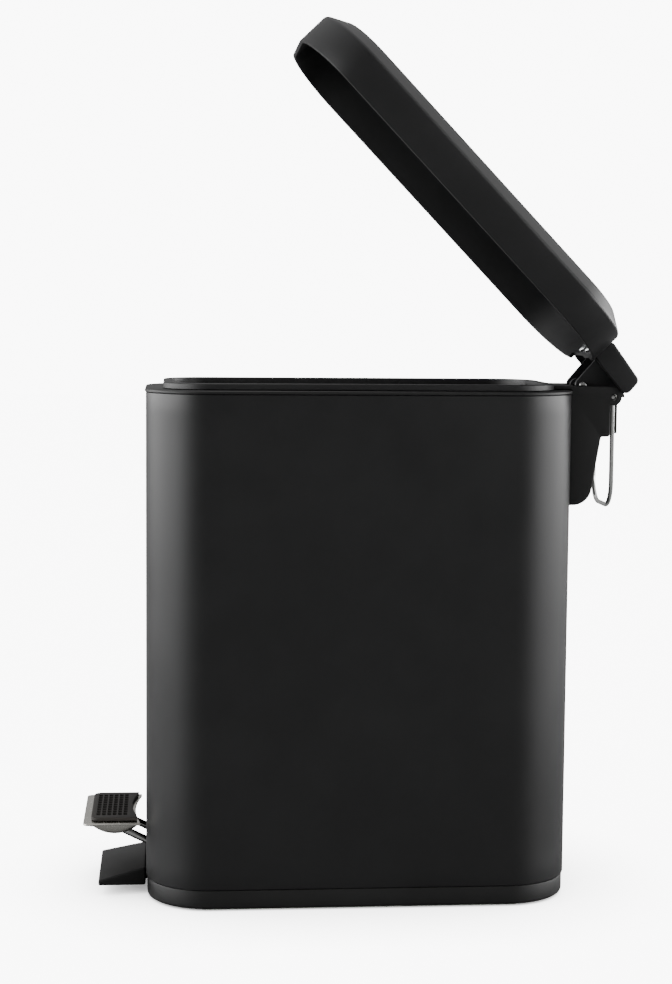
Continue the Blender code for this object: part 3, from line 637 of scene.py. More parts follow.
@dataclass
class NodeMaker:
    """Runs the geometry node trees and keeps what they make as plain meshes."""

    shop: Workshop
    wires: bpy.types.NodeTree = field(default_factory=wire_tree)
    repeats: bpy.types.NodeTree = field(default_factory=repeat_tree)

    def run(self, piece: bpy.types.Object, tree: bpy.types.NodeTree, values: dict[str, object]) -> None:
        """Give a piece one of the trees and keep the result.

        Args:
            piece: the object whose mesh goes into the tree.
            tree: the tree.
            values: what each named input is set to.
        """
        change = piece.modifiers.new(tree.name, "NODES")
        change.node_group = tree
        for socket in tree.interface.items_tree:
            if socket.item_type == "SOCKET" and socket.in_out == "INPUT" and socket.name in values:
                change[socket.identifier] = values[socket.name]
        self.shop.settle(piece)

    def wire(self, name: str, path: Sequence[Vector], radius: float, endless: bool,
             finish: MetalFinish, sides: int = 24) -> bpy.types.Object:
        """A round wire along a path."""
        bm = bmesh.new()
        points = [bm.verts.new(point) for point in path]
        for first, second in zip(points, points[1:]):
            bm.edges.new((first, second))
        if endless:
            bm.edges.new((points[-1], points[0]))
        piece = self.shop.blank(name, bm)
        self.run(piece, self.wires, {
            "Radius": radius, "Sides": sides, "Material": self.shop.finish(finish)})
        return piece

    def repeat(self, name: str, part: bpy.types.Object, points: Sequence[Vector],
               finish: CoatedFinish | MetalFinish, spin: Vector = Vector()) -> bpy.types.Object:
        """Copies of a part, one on each point, as one mesh; the part itself is used up."""
        bm = bmesh.new()
        for point in points:
            bm.verts.new(point)
        piece = self.shop.blank(name, bm)
        self.run(piece, self.repeats, {
            "Part": part, "Spin": tuple(spin), "Seed": 7, "Material": self.shop.finish(finish)})
        bpy.data.objects.remove(part)
        return piece

    def screws(self, name: str, shape: ScrewShape, way: int, spot: tuple[float, float],
               head_y: float) -> bpy.types.Object:
        """A pair of screws along Y, one on each side, each turned by chance in its hole.

        Args:
            name: the pair's name.
            shape: the screw's sizes.
            way: 1 if the shanks point to +Y, or -1.
            spot: the right screw's X and Z.
            head_y: where the heads' tops are.

        Returns:
            Both screws as one mesh.
        """
        places = [Vector((sign * spot[0], head_y, spot[1])) for sign in (-1, 1)]
        return self.repeat(name, shape.build(self.shop, way), places, ZINC_PLATE, Vector((0, 0.6, 0)))


# ---------------------------------------------------------------- sub-assemblies


@dataclass
class Outer:
    """The driving sizes that the shell, base, collar, bucket and lid share."""

    half_width: float = 58.0
    half_length: float = 110.0
    corner: float = 33.0
    wall: float = 0.7
    bottom: float = 11.3
    top: float = 263.0

    def ring(self, inset: float, z: float, steps: int = 20) -> list[Vector]:
        """The shell's outline moved inwards, at a height."""
        flat = outline(self.half_width - inset, self.half_length - inset, self.corner - inset, steps)
        return [Vector((x, y, z)) for x, y in flat]

    def swept(self, profile: Profile, endless: bool = False) -> bmesh.types.BMesh:
        """A body that follows the outline, from (inset, height) points."""
        return loft([self.ring(inset, z) for inset, z in profile], endless)


@dataclass
class ScrewShape:
    """A domed cross-head screw along Y."""

    head: float = 3.2
    shank: float = 1.5
    head_height: float = 1.8
    length: float = 10.0

    def build(self, shop: Workshop, way: int) -> bpy.types.Object:
        """Make one screw at the origin.

        Args:
            shop: the workshop.
            way: 1 if its shank points to +Y, or -1.

        Returns:
            The screw, its head's top at Y = 0.
        """
        swings = [math.radians(degrees) for degrees in (12, 30, 48, 66, 84)]
        dome = [(self.head * math.sin(swing), self.head_height * 0.75 * (1 - math.cos(swing)))
                for swing in swings]
        rings = dome + [(self.head, self.head_height * 0.85), (self.head - 0.1, self.head_height)]
        under, thread = self.head_height, self.head_height + 0.3
        rings += [(self.shank, under)]
        turns = int((self.length - thread - 1) / 0.8)
        for turn in range(turns):
            rings += [(self.shank, thread + turn * 0.8), (self.shank - 0.25, thread + turn * 0.8 + 0.4)]
        rings += [(self.shank * 0.4, self.length)]
        piece = shop.blank("screw", turned("Y", (0, 0), [(r, way * y) for r, y in rings], 28))
        cross = [block((-half_x, half_x), sorted((-way * 0.5, way * 1.0)), (-half_z, half_z))
                 for half_x, half_z in ((2.0, 0.4), (0.4, 2.0))]
        shop.carve(piece, cuts=cross)
        return piece


@dataclass
class BodyAndBase:
    """The painted sleeve, its base with the sloping foot, and the pedal's opening."""

    shop: Workshop
    maker: NodeMaker
    outer: Outer
    base_bottom: float = 1.0
    base_top: float = 10.8
    base_inset: float = 0.6
    spigot_top: float = 22.0
    mouth_half_width: float = 20.0
    mouth_top: float = 45.5
    fulcrum: tuple[float, float] = (5.0, 24.5)
    foot_screw: tuple[float, float] = (18.0, 8.0)

    def build(self) -> None:
        """Make and dress every piece of the body."""
        self.shell()
        self.base()
        self.strips()
        self.foot()
        self.mouth_frame()
        self.axle()

    def shell(self) -> None:
        """The sleeve: a thin wall with hemmed ends and its openings."""
        o = self.outer
        profile = [(0.25, o.bottom), (0.05, o.bottom + 0.2), (0, o.bottom + 0.5)]
        profile += [(0, o.bottom + 10), (0, o.top - 10), (0, o.top - 0.5)]
        profile += [(0.05, o.top - 0.2), (0.25, o.top), (o.wall, o.top), (o.wall, o.bottom)]
        piece = self.shop.blank("painted_sleeve", o.swept(profile, endless=True))
        half, top = self.mouth_half_width, self.mouth_top
        mouth = soften([(-half, 2), (half, 2), (half, top), (-half, top)], 2.0)
        self.shop.carve(piece, cuts=[
            prism("Y", mouth, *FRONT_WALL), rod_slot(), *screw_holes(HOUSING_SCREW, *BACK_WALL)])
        self.shop.hang(piece, POWDER_COAT, "can", ["body_shell"])

    def base(self) -> None:
        """The base tray with its rounded skirt, spigot, posts and floor ribs."""
        low, top, spigot = self.base_bottom, self.base_top, self.spigot_top
        side = self.base_inset
        profile = [
            (side + 2.0, low), (side + 1.0, low + 0.12), (side + 0.4, low + 0.5),
            (side + 0.1, low + 1.1), (side, low + 1.9), (side, top - 0.45),
            (side + 0.12, top - 0.12), (side + 0.4, top), (1.3, top), (1.3, spigot - 0.6),
            (1.7, spigot), (3.0, spigot), (3.3, spigot - 0.4), (3.3, 3.2), (3.7, 2.8)]
        piece = self.shop.blank("base_tray_moulding", self.outer.swept(profile))
        y, z = self.fulcrum
        post = [(-1, 1.8), (11, 1.8), (11, z)] + arc((y, z), 4.5, 20, 160, 14) + [(-1, z)]
        joins = [prism("X", post, *sorted((sign * 19.5, sign * 23.5))) for sign in (-1, 1)]
        joins += [block((-40, 40), (at - 0.8, at + 0.8), (2.0, 4.2)) for at in (-60, -30, 40)]
        cuts = [block((-23.5, 23.5), (-115, -102), (top, spigot + 5))]
        cuts += [bar("X", (y, z), 2.3, -30, 30), *screw_holes(self.foot_screw, -115, -102)]
        self.shop.carve(piece, cuts, joins)
        self.shop.hang(piece, MOULDED_BLACK, "can", ["base_tray"])

    def strips(self) -> None:
        """The two soft strips that the bin stands on."""
        for side, sign in (("left", -1), ("right", 1)):
            low, high = sorted((sign * 44, sign * 54))
            flat = soften([(low, -82), (high, -82), (high, 82), (low, 82)], 3.0, 8)
            piece = self.shop.blank(f"non_slip_strip_{side}", pillow("Z", flat, 0, 0.7, 0.12, 2))
            self.shop.hang(piece, FOAM_STRIP, "can", [f"floor_strip_{side}"])

    def foot(self) -> None:
        """The sloping foot under the pedal, open below with two ribs, and its screws."""
        front, rear = (-134.8, 29.2, 6.0, 8.8), (-110.3, 25.4, 5.0, 14.6)
        rings = [[Vector((sign * half, y, z)) for sign, z in ((-1, low), (1, low), (1, high), (-1, high))]
                 for y, half, low, high in (front, rear)]
        piece = self.shop.blank("sloping_foot", loft(rings))
        self.shop.bevel(piece, 0.9, 4)
        pockets = [block(sorted((sign * 3, sign * 14)), (-129, -113), (0, 7.4)) for sign in (-1, 1)]
        self.shop.carve(piece, [*pockets, *screw_holes(self.foot_screw, -118.3, -109)])
        self.shop.hang(piece, MOULDED_BLACK, "can", ["front_foot"])
        screws = self.maker.screws("foot_screws", ScrewShape(length=13.2), -1, self.foot_screw, -104.6)
        self.shop.hang(screws, ZINC_PLATE, "can", ["foot_screw_left", "foot_screw_right"])

    def mouth_frame(self) -> None:
        """The plastic arch that lines the pedal's opening."""
        def arch(half: float, top: float, wall: float) -> Profile:
            """An arch open at the bottom."""
            return [(-half, 11.6), (-half, top), (half, top), (half, 11.6), (half - wall, 11.6),
                    (half - wall, top - wall), (wall - half, top - wall), (wall - half, 11.6)]
        lining = soften(arch(self.mouth_half_width - 0.3, self.mouth_top - 0.3, 1.7), 1.2)
        piece = self.shop.blank("pedal_arch", prism("Y", lining, -110, -107))
        flange = prism("Y", soften(arch(23.0, self.mouth_top + 2.5, 4.4), 1.2), -109.0, -107.2)
        self.shop.carve(piece, joins=[flange])
        self.shop.hang(piece, MOULDED_BLACK, "can", ["pedal_mouth_frame"])

    def axle(self) -> None:
        """The steel axle that the lever rocks on."""
        profile = [(1.6, -25), (2.0, -24.6), (2.0, 24.6), (1.6, 25)]
        piece = self.shop.blank("lever_axle", turned("X", self.fulcrum, profile))
        self.shop.hang(piece, ZINC_PLATE, "can", ["fulcrum_axle"])


@dataclass
class RimAndBucket:
    """The collar on the sleeve's top edge and the lift-out bucket with its handle."""

    shop: Workshop
    maker: NodeMaker
    outer: Outer
    handle_z: float = 258.0
    handle_reach: float = 84.0
    handle_half_width: float = 41.6

    def build(self) -> None:
        """Make and dress the collar, the bucket and the handle."""
        self.collar()
        self.bucket()
        self.handle()

    def collar(self) -> None:
        """The collar: a thin flange, a raised inner lip and a skirt inside the sleeve."""
        profile = [
            (-0.3, 263.3), (-0.5, 263.5), (-0.5, 264.2), (-0.35, 264.6), (0.1, 264.8),
            (9.4, 264.8), (10, 265.1),
            (10, 266.0), (10.3, 266.4), (11.7, 266.4), (12, 266.1), (12, 261.5), (10.5, 261.5),
            (10.5, 263.3), (2.8, 263.3), (2.8, 252.0), (1.3, 252.0), (1.3, 263.3)]
        piece = self.shop.blank("collar_moulding", self.outer.swept(profile, endless=True))
        self.shop.hang(piece, MOULDED_BLACK, "can", ["collar_ring"])

    def bucket(self) -> None:
        """The bucket: a draughted wall with a rolled rim and a rounded floor."""
        profile = [
            (20.6, 38.0), (18.4, 38.3), (17.2, 39.3), (16.5, 41.0), (16.4, 43.0),
            (12.5, 264.0), (12.5, 266.7),
            (9.7, 266.7), (9.7, 265.3), (9.5, 265.1), (9.1, 265.1), (8.9, 265.3), (8.9, 267.3), (9.0, 267.8),
            (9.4, 268.15), (9.9, 268.2), (13.2, 268.2), (13.8, 267.9), (14.0, 267.2),
            (14.0, 264.0), (17.8, 45.0), (18.1, 42.4), (19.0, 40.4), (21.0, 39.6)]
        piece = self.shop.blank("bucket_moulding", self.outer.swept(profile))
        self.shop.carve(piece, [bar("X", (0, self.handle_z), 1.8, -50, 50)])
        self.shop.hang(piece, LINER_BLACK, "can", ["inner_bucket"])

    def handle(self) -> None:
        """The folded-down wire handle and its ribbed grip."""
        wide, reach, z, end = self.handle_half_width, self.handle_reach, self.handle_z, 47.0
        path = [Vector(p) for p in ((end, 0, z), (wide, 0, z), (wide, -reach, z), (-wide, -reach, z),
                                    (-wide, 0, z), (-end, 0, z))]
        piece = self.maker.wire("bucket_handle_wire", bend_path(path, 2.6, False), 1.5, False, CHROME_WIRE)
        self.shop.hang(piece, CHROME_WIRE, "handle", ["bucket_handle"])
        profile = [(2.2, -27), (3.4, -27), (4.3, -26.6), (4.9, -25.6)]
        for groove in range(12):
            at = -22 + groove * 4
            profile += [(5.0, at - 1.2), (4.55, at - 0.5), (4.55, at + 0.5), (5.0, at + 1.2)]
        profile += [(4.9, 25.6), (4.3, 26.6), (3.4, 27), (2.2, 27)]
        grip = self.shop.blank("handle_grip_moulding", turned("X", (-reach, z), profile, 32))
        self.shop.carve(grip, [bar("X", (-reach, z), 1.8, -40, 40, 32)])
        self.shop.hang(grip, LINER_BLACK, "handle", ["handle_grip"])


@dataclass
class Pedal:
    """The wire lever, the tread plate with its rubber pad, and what holds them together."""

    shop: Workshop
    maker: NodeMaker
    half_width: float = 31.0
    front: float = -142.6
    rear: float = -112.9
    plate: tuple[float, float] = (38.2, 39.4)
    pad: tuple[float, float] = (39.7, 41.6)
    notch: float = 2.8
    lever_z: float = 19.5
    lever_half: float = 14.0
    fulcrum: tuple[float, float] = (5.0, 24.5)

    def build(self) -> None:
        """Make and dress every piece that rocks with the pedal."""
        self.lever()
        self.tread_plate()
        self.tread_pad()
        self.saddles_and_clips()

    def plan(self, inset: float, corner: float = 3.0) -> Profile:
        """The tread's plan: straight front and sides, and a hollow back edge."""
        half, rear, front = self.half_width - inset, self.rear - inset * 0.4, self.front + inset
        chord = half - 3.0
        radius = (chord ** 2 + self.notch ** 2) / (2 * self.notch)
        reach = math.degrees(math.asin(chord / radius))
        hollow = arc((0, rear - self.notch + radius), radius, 270 - reach, 270 + reach, 28)
        nose = arc((half - corner, front + corner), corner, 0, -90, 8)
        nose += arc((corner - half, front + corner), corner, 270, 180, 8)
        return [(-half, rear), *hollow, (half, rear), *nose]

    def lever(self) -> None:
        """The lever, bent from one chromed wire."""
        half = self.lever_half
        side = [(-136.0, 35.1), (-128.3, 35.1), (-96.5, self.lever_z), (102.0, self.lever_z)]
        path = [Vector((half, y, z)) for y, z in side] + [Vector((-half, y, z)) for y, z in reversed(side)]
        piece = self.maker.wire("lever_wire", bend_path(path, 6.0, True), 2.0, True, CHROME_WIRE, 28)
        self.shop.hang(piece, CHROME_WIRE, "pedal", ["pedal_lever"])

    def tread_plate(self) -> None:
        """The polished plate with its rounded edge and turned-down sides."""
        low, high = self.plate
        piece = self.shop.blank("tread_plate", pillow("Z", self.plan(0), low, high, 0.45))
        middle = self.rear - 13.1
        chord, drop, thick = 12.2, 4.6, 0.9
        radius = (chord ** 2 + drop ** 2) / (2 * drop)
        for sign in (-1, 1):
            rings = []
            for along in [chord * (k / 12 - 1) for k in range(1, 24)]:
                depth = drop - radius + math.sqrt(radius ** 2 - along ** 2)
                rings.append(self.rolled_section(sign, middle + along, low + 0.5, max(depth, 0.3), thick))
            self.shop.carve(piece, joins=[loft(rings)])
        self.shop.hang(piece, POLISHED_STEEL, "pedal", ["pedal_plate"])

    def rolled_section(self, sign: int, y: float, top: float, depth: float, thick: float) -> list[Vector]:
        """A section of the turned-down side: it rolls inwards on its way down."""
        outer = [(self.half_width - 0.35 - 2.4 * (turn / 90) ** 2, top - (depth + 0.5) * turn / 90)
                 for turn in (0, 18, 36, 54, 72, 90)]
        inner = [(x - thick, z + 0.1) for x, z in reversed(outer)]
        return [Vector((sign * x, y, z)) for x, z in outer + inner]

    def tread_pad(self) -> None:
        """The rubber pad: a field of square pits with raised ribs between them."""
        low, high = self.pad
        piece = self.shop.blank("tread_pad", pillow("Z", self.plan(4.0, 4.0), low, high, 0.5))
        columns, rows, pitch_y, pitch_x, rib, depth = 6, 9, 2.8, 4.9, 0.6, 1.2
        middle_y = -127.9
        pit_y, pit_x = pitch_y - rib, pitch_x - rib
        signs = ((1, 1), (-1, 1), (-1, -1), (1, -1))
        part = self.shop.blank("pit", loft([
            [Vector((sx * pit_x * k / 2, sy * pit_y * k / 2, z)) for sx, sy in signs]
            for k, z in ((0.78, -depth), (1.0, 0.4))]))
        spots = [Vector(((row - (rows - 1) / 2) * pitch_x,
                         middle_y + (column - (columns - 1) / 2) * pitch_y, high))
                 for row in range(rows) for column in range(columns)]
        pits = self.maker.repeat("pits", part, spots, TREAD_RUBBER)
        change = piece.modifiers.new("pits", "BOOLEAN")
        change.operation = "DIFFERENCE"
        change.solver = "EXACT"
        change.object = pits
        self.shop.settle(piece)
        bpy.data.objects.remove(pits)
        self.shop.hang(piece, TREAD_RUBBER, "pedal", ["pedal_pad"])

    def saddles_and_clips(self) -> None:
        """The straps that clamp the lever and the plastic clips that ride on the axle."""
        bar_y, bar_z = -136.0, 35.1
        for side, sign in (("left", -1), ("right", 1)):
            strap = [(-4.2, 37.9), (-4.2, bar_z - 3.3), (4.2, bar_z - 3.3), (4.2, 37.9),
                     (2.3, 37.9), (2.3, bar_z - 2.3), (-2.3, bar_z - 2.3), (-2.3, 37.9)]
            piece = self.shop.blank(f"lever_strap_{side}", prism(
                "X", soften([(bar_y + a, b) for a, b in strap], 0.8), *sorted((sign * 2.5, sign * 7.5))))
            self.shop.hang(piece, POLISHED_STEEL, "pedal", [f"pedal_saddle_{side}"])
            y, z = self.fulcrum
            block_side = [(0, 16.2), (10, 16.2), (10, z)] + arc((y, z), 4.4, 15, 165, 14) + [(0, z)]
            clip = self.shop.blank(f"axle_clip_{side}", pillow(
                "X", block_side, *sorted((sign * 10.5, sign * 17.5)), 0.4))
            self.shop.carve(clip, [bar("X", (y, z), 2.15, -30, 30), bar(
                "Y", (sign * self.lever_half, self.lever_z), 2.3, -10, 20)])
            self.shop.hang(clip, MOULDED_BLACK, "pedal", [f"fulcrum_clip_{side}"])


@dataclass
class HingeGroup:
    """The housing on the back wall with its pin, screws, push rod and carrying bail."""

    shop: Workshop
    maker: NodeMaker
    axis: tuple[float, float] = (133.4, 261.1)
    half_width: float = 25.0
    ledge: float = 240.4
    barrel: float = 4.2
    curl: float = 5.6
    pin: float = 1.5
    crank_radius: float = 15.15
    crank_closed: float = 23.8

    def build(self) -> None:
        """Make and dress the housing, rod and bail."""
        self.housing()
        self.pin_and_screws()
        self.push_rod()
        self.bail()

    def crank_pin(self, lid_open: float) -> tuple[float, float]:
        """Where the crank pin is for a lid angle in degrees, counted from closed."""
        angle = math.radians(180 + self.crank_closed - lid_open)
        return (self.axis[0] + self.crank_radius * math.cos(angle),
                self.axis[1] + self.crank_radius * math.sin(angle))

    def housing(self) -> None:
        """The tapered housing with its curled rear lip."""
        ledge = self.ledge
        sides = [(110.3, 204.5)] + arc((112.6, 214.3), 9.8, -90, -8, 18)
        sides += [(126.7, ledge - 1.0), (126.9, ledge - 0.3), (127.4, ledge), (130.6, ledge + 0.1)]
        sides += [(131.3, ledge + 0.5), (131.5, ledge + 1.4)]
        sides += arc(self.axis, self.barrel, -117, 0, 16) + arc(self.axis, self.curl, 0, 90, 16)
        sides += [(101.9, 266.8), (101.5, 266.4), (101.5, 265.5), (101.9, 265.1), (110.8, 265.1),
                  (110.8, 262.8), (110.3, 262.8)]
        piece = self.shop.blank("hinge_cover", pillow("X", sides, -self.half_width, self.half_width, 0.5))
        hollow = [(113, 275), (113, 208.5), (117.4, 209.4), (120, 214.5), (124.5, ledge + 1.6),
                  (129.4, ledge + 3.6), (129.4, 254), (145, 254), (145, 275)]
        lip = arc(self.axis, self.curl, 0, 90, 16) + arc(self.axis, self.barrel, 95, 225, 22)
        lip += [(129.8, 250), (131.3, 250), (131.4, 256)] + arc(self.axis, self.barrel, 262, 335, 12)
        lip += [(137.6, 258.5), (137.6, 242.4)] + arc((138.3, 241.9), 0.7, 180, 360, 10)
        self.shop.carve(piece, [prism("X", hollow, -23, 23)])
        self.shop.carve(piece, joins=[pillow("X", lip, -8.5, 8.5, 0.3)])
        self.shop.carve(piece, [bar("X", self.axis, SCREW_HOLE, -40, 40), rod_slot(),
                                *screw_holes(HOUSING_SCREW, *BACK_WALL)])
        self.shop.hang(piece, MOULDED_BLACK, "can", ["hinge_housing"])

    def pin_and_screws(self) -> None:
        """The hinge pin and the two screws that hold the housing."""
        end = self.half_width - 1.6
        pin = self.shop.blank("hinge_pin_bar", turned("X", self.axis, [
            (0.9, -end), (1.35, 0.25 - end), (self.pin, 0.6 - end), (self.pin, end - 0.6),
            (1.35, end - 0.25), (0.9, end)]))
        self.shop.hang(pin, CHROME_WIRE, "can", ["hinge_pin"])
        screws = self.maker.screws("housing_screws", ScrewShape(length=10.8), 1, HOUSING_SCREW, 107.2)
        self.shop.hang(screws, ZINC_PLATE, "can", ["housing_screw_left", "housing_screw_right"])

    def push_rod(self) -> None:
        """The flat push rod with a long eye at each end."""
        pin_y, pin_z = self.crank_pin(math.degrees(self.shop.open_angle))
        line = [(102, 19.5), (102, 214), (119.5, 244), (119.5, pin_z - 3.5)]
        strip = self.shop.blank("push_rod_strip", prism("X", soften(ribbon(line, 2.5), 4.0, 6), -1, 1))

        def eye(low_y: float, high_y: float, low_z: float, high_z: float) -> Profile:
            """A long hole's outline."""
            radius, middle = (high_z - low_z) / 2, (high_z + low_z) / 2
            return (arc((high_y - radius, middle), radius, -90, 90, 14)
                    + arc((low_y + radius, middle), radius, 90, 270, 14))
        heads = [prism("X", eye(pin_y - 4.5, pin_y + 7.2, pin_z - 4.3, pin_z + 3.3), -1, 1),
                 prism("X", eye(96.4, 106.4, 15.5, 23.5), -1, 1)]
        holes = [prism("X", eye(pin_y - 3.1, pin_y + 5.8, pin_z - 2.9, pin_z + 1.9), -5, 5),
                 prism("X", eye(98.4, 104.45, 17.05, 21.95), -5, 5)]
        self.shop.carve(strip, holes, heads)
        self.shop.hang(strip, BLACKED_STEEL, "rod", ["push_rod"])

    def bail(self) -> None:
        """The carrying bail: one wire, with an eye round each side of the hinge pin."""
        half, low, top = 21.4, 203.4, self.axis[1] - 2.6
        y = self.axis[0]
        path = [Vector(p) for p in ((half, y, top), (half, y, low), (-half, y, low), (-half, y, top))]
        piece = self.maker.wire("bail_wire", bend_path(path, 13.0, False, 16), 1.2, False, CHROME_WIRE)
        eyes = [turned("X", self.axis, [(3.0, low_x), (3.6, low_x + 0.6), (3.6, high_x - 0.6), (3.0, high_x)])
                for low_x, high_x in ((-half - 1.35, 1.35 - half), (half - 1.35, half + 1.35))]
        self.shop.carve(piece, [bar("X", self.axis, 1.8, -40, 40)], eyes)
        self.shop.hang(piece, CHROME_WIRE, "bail", ["carry_bail"])


@dataclass
class Lid:
    """The lid moulding with its tab, and the crank that the rod pushes."""

    shop: Workshop
    maker: NodeMaker
    outer: Outer
    hinge: HingeGroup
    rim: float = 265.1
    side: float = 18.0
    chamfer_in: float = 10.5
    chamfer_up: float = 6.4
    wall: float = 2.0
    grow: float = 1.0
    tab_half: float = 27.6
    tab_wall: float = 2.0
    tab_rear: float = 137.0
    tab_skirt: tuple[float, float] = (267.4, 265.6)
    tab_low: float = 267.3
    tab_high: tuple[float, float] = (280.2, 277.2)
    notch_top: float = 268.0
    screw: tuple[float, float] = (7.0, 271.6)

    def build(self) -> None:
        """Make and dress every piece that swings with the lid."""
        self.moulding()
        self.crank()

    def moulding(self) -> None:
        """The lid: straight sides, a soft chamfer and a flat top, with a hollow tab behind."""
        edge, inner = -self.grow, self.wall - self.grow
        shoulder, top = self.rim + self.side, self.rim + self.side + self.chamfer_up
        flat = [(edge, self.rim), (edge, shoulder), (edge + self.chamfer_in, top), (30.0, top)]
        outside = soften([(edge + 3, self.rim), *flat], 2.6, 6, closed=False)[1:]
        outside = [p for p in outside if p[1] > self.rim + 2.0]
        under = [(inner, self.rim), (inner, shoulder - 0.8), (inner + self.chamfer_in, top - self.wall),
                 (30.0, top - self.wall)]
        inside = soften(under, 2.0, 5, closed=False)[1:]
        rim = [(edge, self.rim + 0.5), (edge + 0.15, self.rim + 0.15), (edge + 0.5, self.rim),
               (inner - 0.4, self.rim), (inner - 0.1, self.rim + 0.12), (inner, self.rim + 0.5)]
        profile = outside[::-1] + rim + inside
        piece = self.shop.blank("lid_moulding", loft([self.outer.ring(i, z, 24) for i, z in profile]))
        rear, (skirt, skirt_rear), (high, high_rear) = self.tab_rear, self.tab_skirt, self.tab_high
        tab = [(109.5, skirt), (rear, skirt_rear), (rear - 1.0, high_rear - 0.6), (109.5, high)]
        solid = pillow("X", soften(tab, 3.2, 8), -self.tab_half, self.tab_half, 1.1, 5)
        inner_front, inner_rear, inner_half = 111.05, rear - self.tab_wall, self.tab_half - self.tab_wall
        hollow = [(inner_front, 262), (inner_rear, 262), (inner_rear, self.tab_low + 4),
                  (inner_rear - 1.6, high_rear - self.tab_wall), (inner_front, high - self.tab_wall)]
        across = (-inner_half, inner_half)
        cuts = [prism("X", hollow, *across),
                block(across, (inner_rear - 1, rear + 1), (262, self.tab_low)),
                block(across, (104, 116), (262, self.notch_top))]
        cuts += screw_holes(self.screw, 104, 112.5)
        self.shop.carve(piece, cuts, [solid])
        self.shop.hang(piece, LID_BLACK, "lid", ["lid_shell"], opened=True)

    def crank(self) -> None:
        """The crank bracket, its screws, and the pin in the rod's eye."""
        pin_y, pin_z = self.hinge.crank_pin(0)
        plate_y, plate_z = (111.3, 113.3), (268.7, 273.2)
        axis_y, axis_z = self.hinge.axis
        arm = [(plate_y[0], plate_z[1]), (plate_y[0], plate_z[0]), (114.2, plate_z[0])]
        arm += arc((pin_y, pin_z), 4.0, 180, 290, 14) + arc((axis_y, axis_z), 3.6, -70, 20, 12)
        arm += [(axis_y + 1.0, 266.9), (axis_y + 0.7, plate_z[1] - 1.2), (axis_y - 2, plate_z[1])]
        piece = self.shop.blank("crank_arms", pillow("X", arm, -12, 12, 0.3))
        cuts = [block((-10, 10), (plate_y[1], 150), (230, 290)), bar("X", (axis_y, axis_z), 1.8, -20, 20),
                bar("X", (pin_y, pin_z), 1.9, -20, 20)]
        cuts += screw_holes(self.screw, 110, 116)
        self.shop.carve(piece, cuts)
        self.shop.hang(piece, BLACKED_STEEL, "lid", ["crank_bracket"], opened=True)
        pin = self.shop.blank("crank_pin_rivet", turned("X", (pin_y, pin_z), [
            (1.2, -13.6), (1.6, -13.3), (1.6, 12.4), (2.0, 12.4), (2.1, 12.6), (2.1, 13.1), (1.9, 13.5),
            (1.4, 13.75), (0.7, 13.8)]))
        self.shop.hang(pin, CHROME_WIRE, "lid", ["crank_pin"], opened=True)
        washer = self.shop.blank("crank_washer", turned("X", (pin_y, pin_z), [
            (3.1, -13.2), (3.4, -13.0), (3.4, -12.5), (3.3, -12.4)]))
        self.shop.carve(washer, [bar("X", (pin_y, pin_z), 1.9, -20, 0)])
        self.shop.hang(washer, ZINC_PLATE, "lid", ["crank_pin_washer"], opened=True)
        screws = self.maker.screws("bracket_screws", ScrewShape(length=8.1), 1, self.screw, 106.9)
        self.shop.hang(screws, ZINC_PLATE, "lid", ["bracket_screw_left", "bracket_screw_right"], opened=True)


# ---------------------------------------------------------------- studio


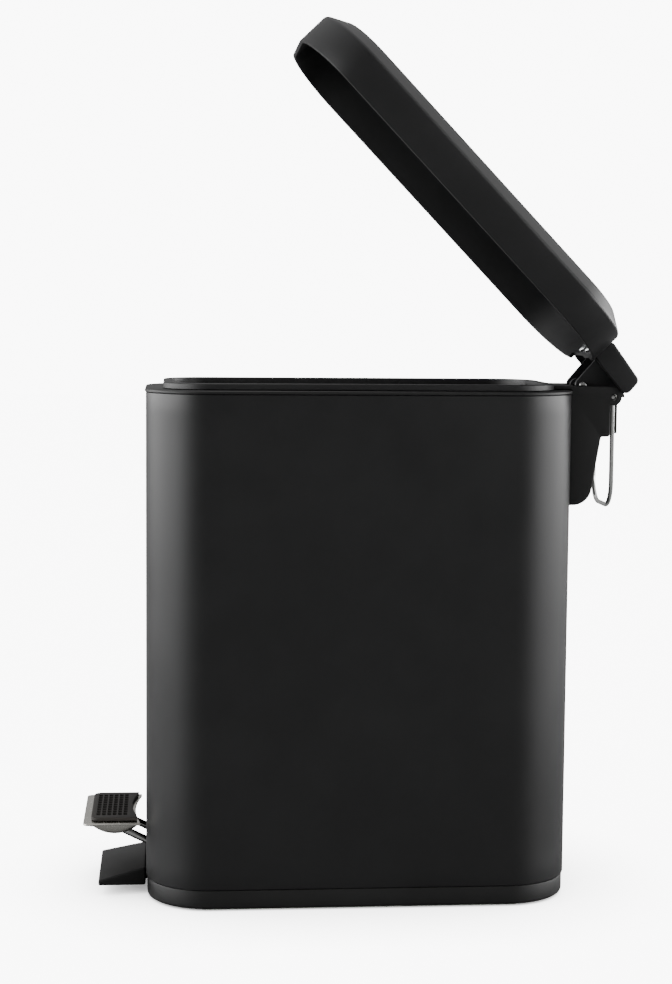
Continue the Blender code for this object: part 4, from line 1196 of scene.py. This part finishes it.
@dataclass
class Studio:
    """The pale floor, the soft lights and the camera."""

    middle_y: float
    focal_mm: float = 70.92
    camera_at: tuple[float, float, float] = (1.0209, -0.09725, 0.3049)
    yaw: float = -4.895
    pitch: float = -5.338
    roll: float = -0.465
    side_light: float = 9.5
    top_light: float = 0.7
    rear_light: float = 0.45
    front_light: float = 0.2
    backdrop: float = 9.5
    floor_colour: str = "f6f6f6"
    bounce_colour: str = "8a8a8a"
    floor_glow: float = 8.2
    shadow_reach: float = 0.07

    def build(self) -> None:
        """Set the floor, the light and the camera up."""
        self.floor()
        self.light()
        self.camera()

    def floor(self) -> None:
        """A wide, pale floor that glows evenly, except for a painted contact shadow where ambient occlusion
        dims its glow near the bin.
        """
        corners = ((-6, -6), (6, -6), (6, 6), (-6, 6))
        bm = loft([[Vector((x, y, z)) for x, y in corners] for z in (-0.02, 0.0)])
        mesh = bpy.data.meshes.new("floor")
        bm.to_mesh(mesh)
        bm.free()
        piece = bpy.data.objects.new("floor", mesh)
        bpy.context.scene.collection.objects.link(piece)
        paper = bpy.data.materials.new("pale_paper")
        paper.use_nodes = True
        tree = paper.node_tree
        shader = tree.nodes["Principled BSDF"]
        seen = add_node(tree, "ShaderNodeLightPath").outputs["Is Camera Ray"]
        # Painted shadow: ambient occlusion darkens the floor's glow close to the bin.
        near = add_node(tree, "ShaderNodeAmbientOcclusion", {"samples": 8}, {
            "Distance": self.shadow_reach}).outputs["AO"]
        glow = maths(tree, "MULTIPLY", maths(tree, "MULTIPLY", near, self.floor_glow), seen)
        tree.links.new(blend(tree, seen, self.bounce_colour, self.floor_colour), shader.inputs["Base Color"])
        tree.links.new(glow, shader.inputs["Emission Strength"])
        shader.inputs["Emission Color"].default_value = srgb("ffffff")
        shader.inputs["Roughness"].default_value = 0.9
        mesh.materials.append(paper)

    def light(self) -> None:
        """A soft white tent: bright beside and above the bin, dim before it, white when looked at."""
        world = bpy.data.worlds.new("soft_tent")
        world.use_nodes = True
        tree = world.node_tree
        sky = tree.nodes["Background"]
        way = add_node(tree, "ShaderNodeTexCoord").outputs["Generated"]
        parts = add_node(tree, "ShaderNodeSeparateXYZ", {}, {0: way}).outputs
        depth = remap(tree, parts["X"], (0.75, -0.3), (self.front_light, self.rear_light), True)
        sides = remap(tree, maths(tree, "ABSOLUTE", parts["Y"]), (0.5, 0.95), (0.0, self.side_light), True)
        low_only = remap(tree, parts["Z"], (0.12, 0.5), (1.0, 0.0), True)
        above = remap(tree, parts["Z"], (0.45, 0.9), (0.0, self.top_light), True)
        most = maths(tree, "ADD", maths(tree, "MULTIPLY", sides, low_only), above)
        tent = maths(tree, "ADD", depth, most)
        seen = add_node(tree, "ShaderNodeLightPath").outputs["Is Camera Ray"]
        strength = add_node(tree, "ShaderNodeMix", {"data_type": "FLOAT"}, {
            0: seen, 2: tent, 3: self.backdrop})
        tree.links.new(strength.outputs[0], sky.inputs["Strength"])
        sky.inputs["Color"].default_value = srgb("ffffff")
        bpy.context.scene.world = world

    def camera(self) -> None:
        """The camera: nearly square to the side, a little above the middle."""
        forward, right, up = Vector((-1, 0, 0)), Vector((0, 1, 0)), Vector((0, 0, 1))
        turn = Matrix.Rotation(math.radians(self.yaw), 3, "Z")
        forward, right = turn @ forward, turn @ right
        tilt = Matrix.Rotation(math.radians(self.pitch), 3, right)
        forward, up = tilt @ forward, tilt @ up
        lean = Matrix.Rotation(math.radians(self.roll), 3, forward)
        right, up = lean @ right, lean @ up
        lens = bpy.data.cameras.new("camera")
        lens.lens = self.focal_mm
        holder = bpy.data.objects.new("camera", lens)
        bpy.context.scene.collection.objects.link(holder)
        x, y, z = self.camera_at
        stand = Matrix.Translation((x, y + self.middle_y, z))
        holder.matrix_world = stand @ Matrix((right, up, -forward)).transposed().to_4x4()
        bpy.context.scene.camera = holder


def lid_hinge() -> tuple[Vector, float]:
    """The lid's hinge axis and how far open it stands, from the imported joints."""
    joint = next(j for j in frame["joints"] if j["name"] == "lid_hinge")
    return Vector(joint["pos_m"]), math.radians(-joint["range_deg"][0])


def main() -> None:
    """Build the studio and the bin."""
    logging.basicConfig(level=logging.INFO, format="%(name)s: %(message)s")
    low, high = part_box("body_shell")
    middle_y = (low.y + high.y) / 2
    Studio(middle_y).build()
    hinge_at, open_angle = lid_hinge()
    shop = Workshop(middle_y, hinge_at, open_angle)
    maker = NodeMaker(shop)
    outer = Outer()
    hinge_group = HingeGroup(shop, maker)
    for part in (BodyAndBase(shop, maker, outer), RimAndBucket(shop, maker, outer), Pedal(shop, maker),
                 hinge_group, Lid(shop, maker, outer, hinge_group)):
        part.build()
    LOG.info("%d pieces", len(shop.made))


if __name__ == "__main__":
    main()
